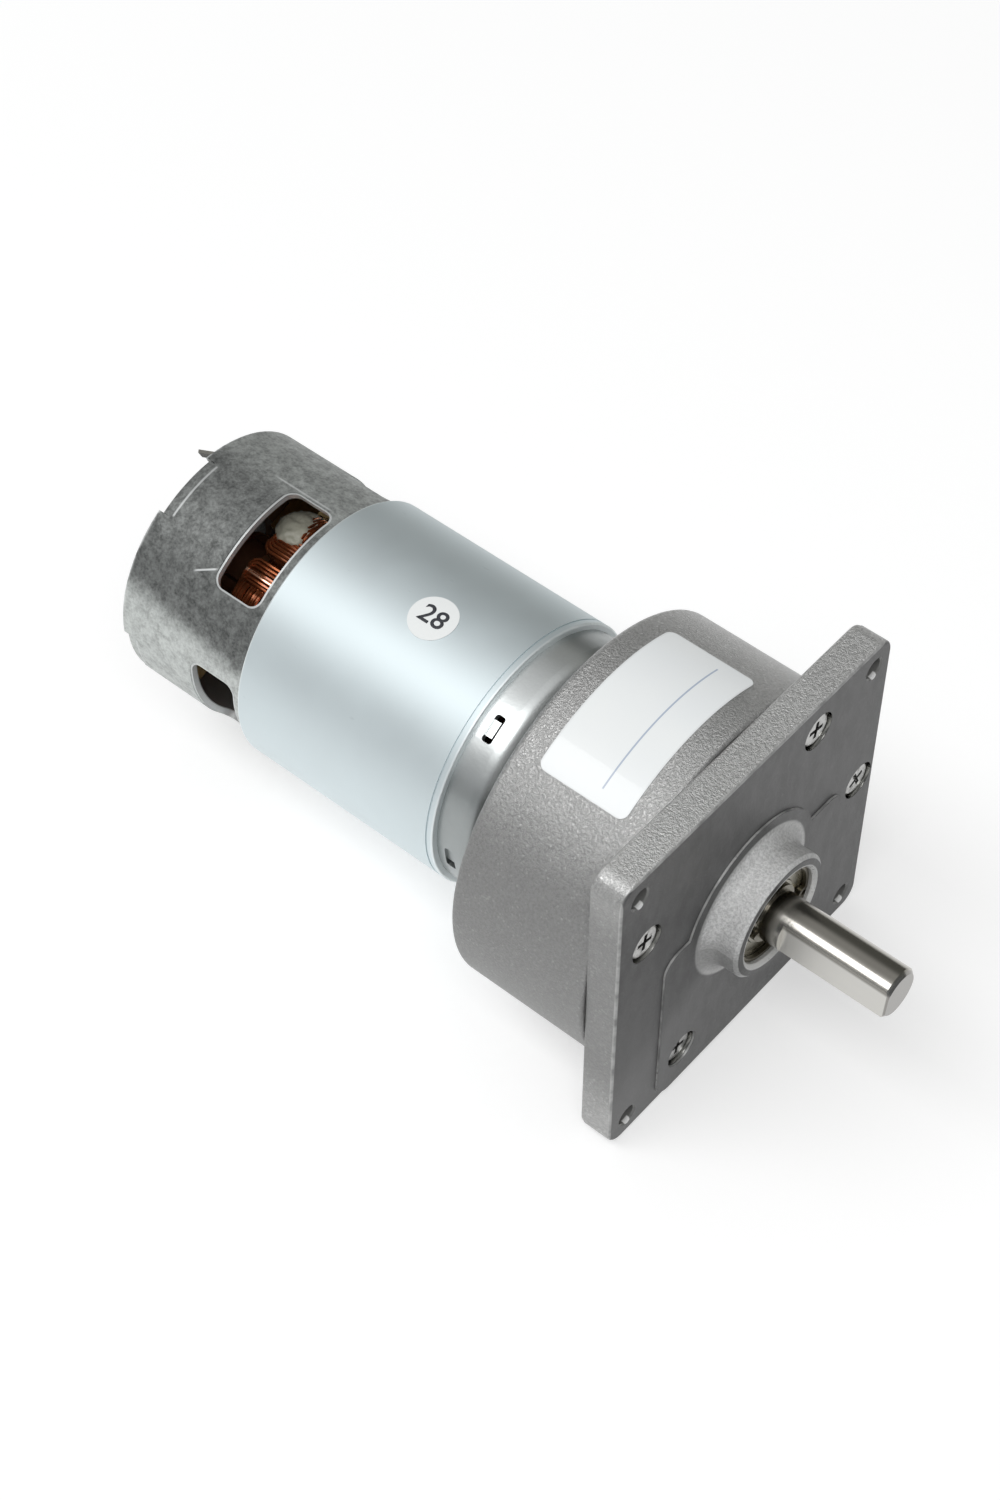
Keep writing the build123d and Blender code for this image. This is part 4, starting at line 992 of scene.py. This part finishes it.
class GEARMOTOR_OT_stage(bpy.types.Operator):
    """Lays the floor, and sets the camera, the softbox and the world"""

    bl_idname = "gear_motor.stage"
    bl_label = "Studio"

    def execute(self, context):
        self.floor()
        self.lamps()
        self.camera(context.scene)
        self.world(context.scene)
        context.scene.view_settings.view_transform = "Standard"
        return {"FINISHED"}

    def floor(self):
        """A wide floor at the part's lowest point, white to the camera and darker to the part."""
        level = cad_box[0][2]
        plane = bpy.ops.mesh.primitive_plane_add
        floor = started("studio_floor", plane, size=6.0, location=(0.0, 0.0, level))
        bpy.ops.mesh.subdivide(number_cuts=1)
        bpy.ops.object.mode_set(mode="OBJECT")
        settled(floor)
        make = Finish("studio_floor")
        light = "ShaderNodeLightPath"
        seen = make.node(light, output="Is Camera Ray") + make.node(light, output="Is Glossy Ray")
        seen = (seen + make.node(light, output="Is Transmission Ray")).maths("MINIMUM", 1.0)
        shade = make.noise(300.0, detail=1.0)
        white = tuple(settings().floor_colour)
        bounce = make.mix((0.38, 0.38, 0.38), (0.42, 0.42, 0.42), shade)
        base = make.mix(bounce, toned(white, 0.64), seen)
        lift = make.mix((0.0, 0.0, 0.0), white, seen)
        shine = {"Specular_IOR_Level": 0.0, "Emission_Color": lift, "Emission_Strength": 0.46}
        coated(floor, make.done(base, 0.9, 0.0, **shine))

    def lamps(self):
        """One long softbox above the part and a little to its -Y side."""
        middle = Vector((-0.035, 0.0, 0.0))
        towards = Vector((0.0, -0.46, 0.89)).normalized()
        data = bpy.data.lights.new("key_softbox", "AREA")
        data.shape = "RECTANGLE"
        data.size = 2.3
        data.size_y = 0.66
        data.energy = settings().key_strength
        lamp = bpy.data.objects.new("key_softbox", data)
        bpy.context.collection.objects.link(lamp)
        # Its long side runs along X.
        across = (Vector((1.0, 0.0, 0.0)) - towards * towards.x).normalized()
        place = middle + towards * 1.6
        lamp.matrix_world = self.placed(place, across, towards.cross(across), towards)

    def camera(self, scene):
        """A long lens that looks down on the flange and the label."""
        data = bpy.data.cameras.new("camera")
        data.sensor_fit = "VERTICAL"
        data.sensor_height = 36.0
        data.lens = 69.64
        data.clip_start = 0.01
        camera = bpy.data.objects.new("camera", data)
        scene.collection.objects.link(camera)
        place = Vector((0.13141, -0.20917, 0.32922))
        right = Vector((0.76272, 0.64672, 0.0))
        up = Vector((-0.49907, 0.58858, 0.63600))
        back = Vector((0.41131, -0.48509, 0.77169))
        camera.matrix_world = self.placed(place, right, up, back)
        scene.camera = camera

    def placed(self, place, x, y, z):
        """The matrix of an object at place with these axes."""
        return Matrix.Translation(place) @ Matrix((x, y, z)).transposed().to_4x4()

    def world(self, scene):
        """A dim surrounding, lighter overhead and darker towards +Y."""
        world = bpy.data.worlds.new("studio")
        scene.world = world
        make = Finish("studio", world)
        way = make.node("ShaderNodeTexCoord", output="Generated")
        height = make.node("ShaderNodeSeparateXYZ", inputs={"Vector": way}, output="Z")
        side = make.node("ShaderNodeSeparateXYZ", inputs={"Vector": way}, output="Y")
        sky = make.mix((0.21, 0.22, 0.23), (0.27, 0.275, 0.275), height.step(0.0, 0.7))
        sky = make.mix(sky, (0.62, 0.62, 0.62), height.step(0.62, 0.88))
        sky = make.mix(sky, (0.17, 0.17, 0.155), side.step(0.35, 0.85) * 0.85)
        glow = make.node("ShaderNodeBackground", inputs={"Color": sky})
        make.end(glow, "ShaderNodeOutputWorld")


class GEARMOTOR_PT_panel(bpy.types.Panel):
    """Lists the settings and the operators"""

    bl_idname = "GEARMOTOR_PT_panel"
    bl_label = "Gear motor"
    bl_space_type = "VIEW_3D"
    bl_region_type = "UI"
    bl_category = "Gear motor"

    def draw(self, context):
        for name in GearMotorSettings.__annotations__:
            self.layout.prop(context.scene.gear_motor, name)
        for operator in OPERATORS:
            self.layout.operator(operator.bl_idname)


OPERATORS = (
    GEARMOTOR_OT_stage,
    GEARMOTOR_OT_castings,
    GEARMOTOR_OT_shell,
    GEARMOTOR_OT_hardware,
    GEARMOTOR_OT_rotor,
    GEARMOTOR_OT_coils,
    GEARMOTOR_OT_labels,
    GEARMOTOR_OT_digits,
)
CLASSES = (GearMotorSettings, *OPERATORS, GEARMOTOR_PT_panel)


def register():
    for made in CLASSES:
        bpy.utils.register_class(made)
    bpy.types.Scene.gear_motor = bpy.props.PointerProperty(type=GearMotorSettings)


def unregister():
    del bpy.types.Scene.gear_motor
    for made in reversed(CLASSES):
        bpy.utils.unregister_class(made)


def main():
    register()
    for operator in OPERATORS:
        group, name = operator.bl_idname.split(".")
        getattr(getattr(bpy.ops, group), name)()
    put_down()


if __name__ == "__main__":
    main()
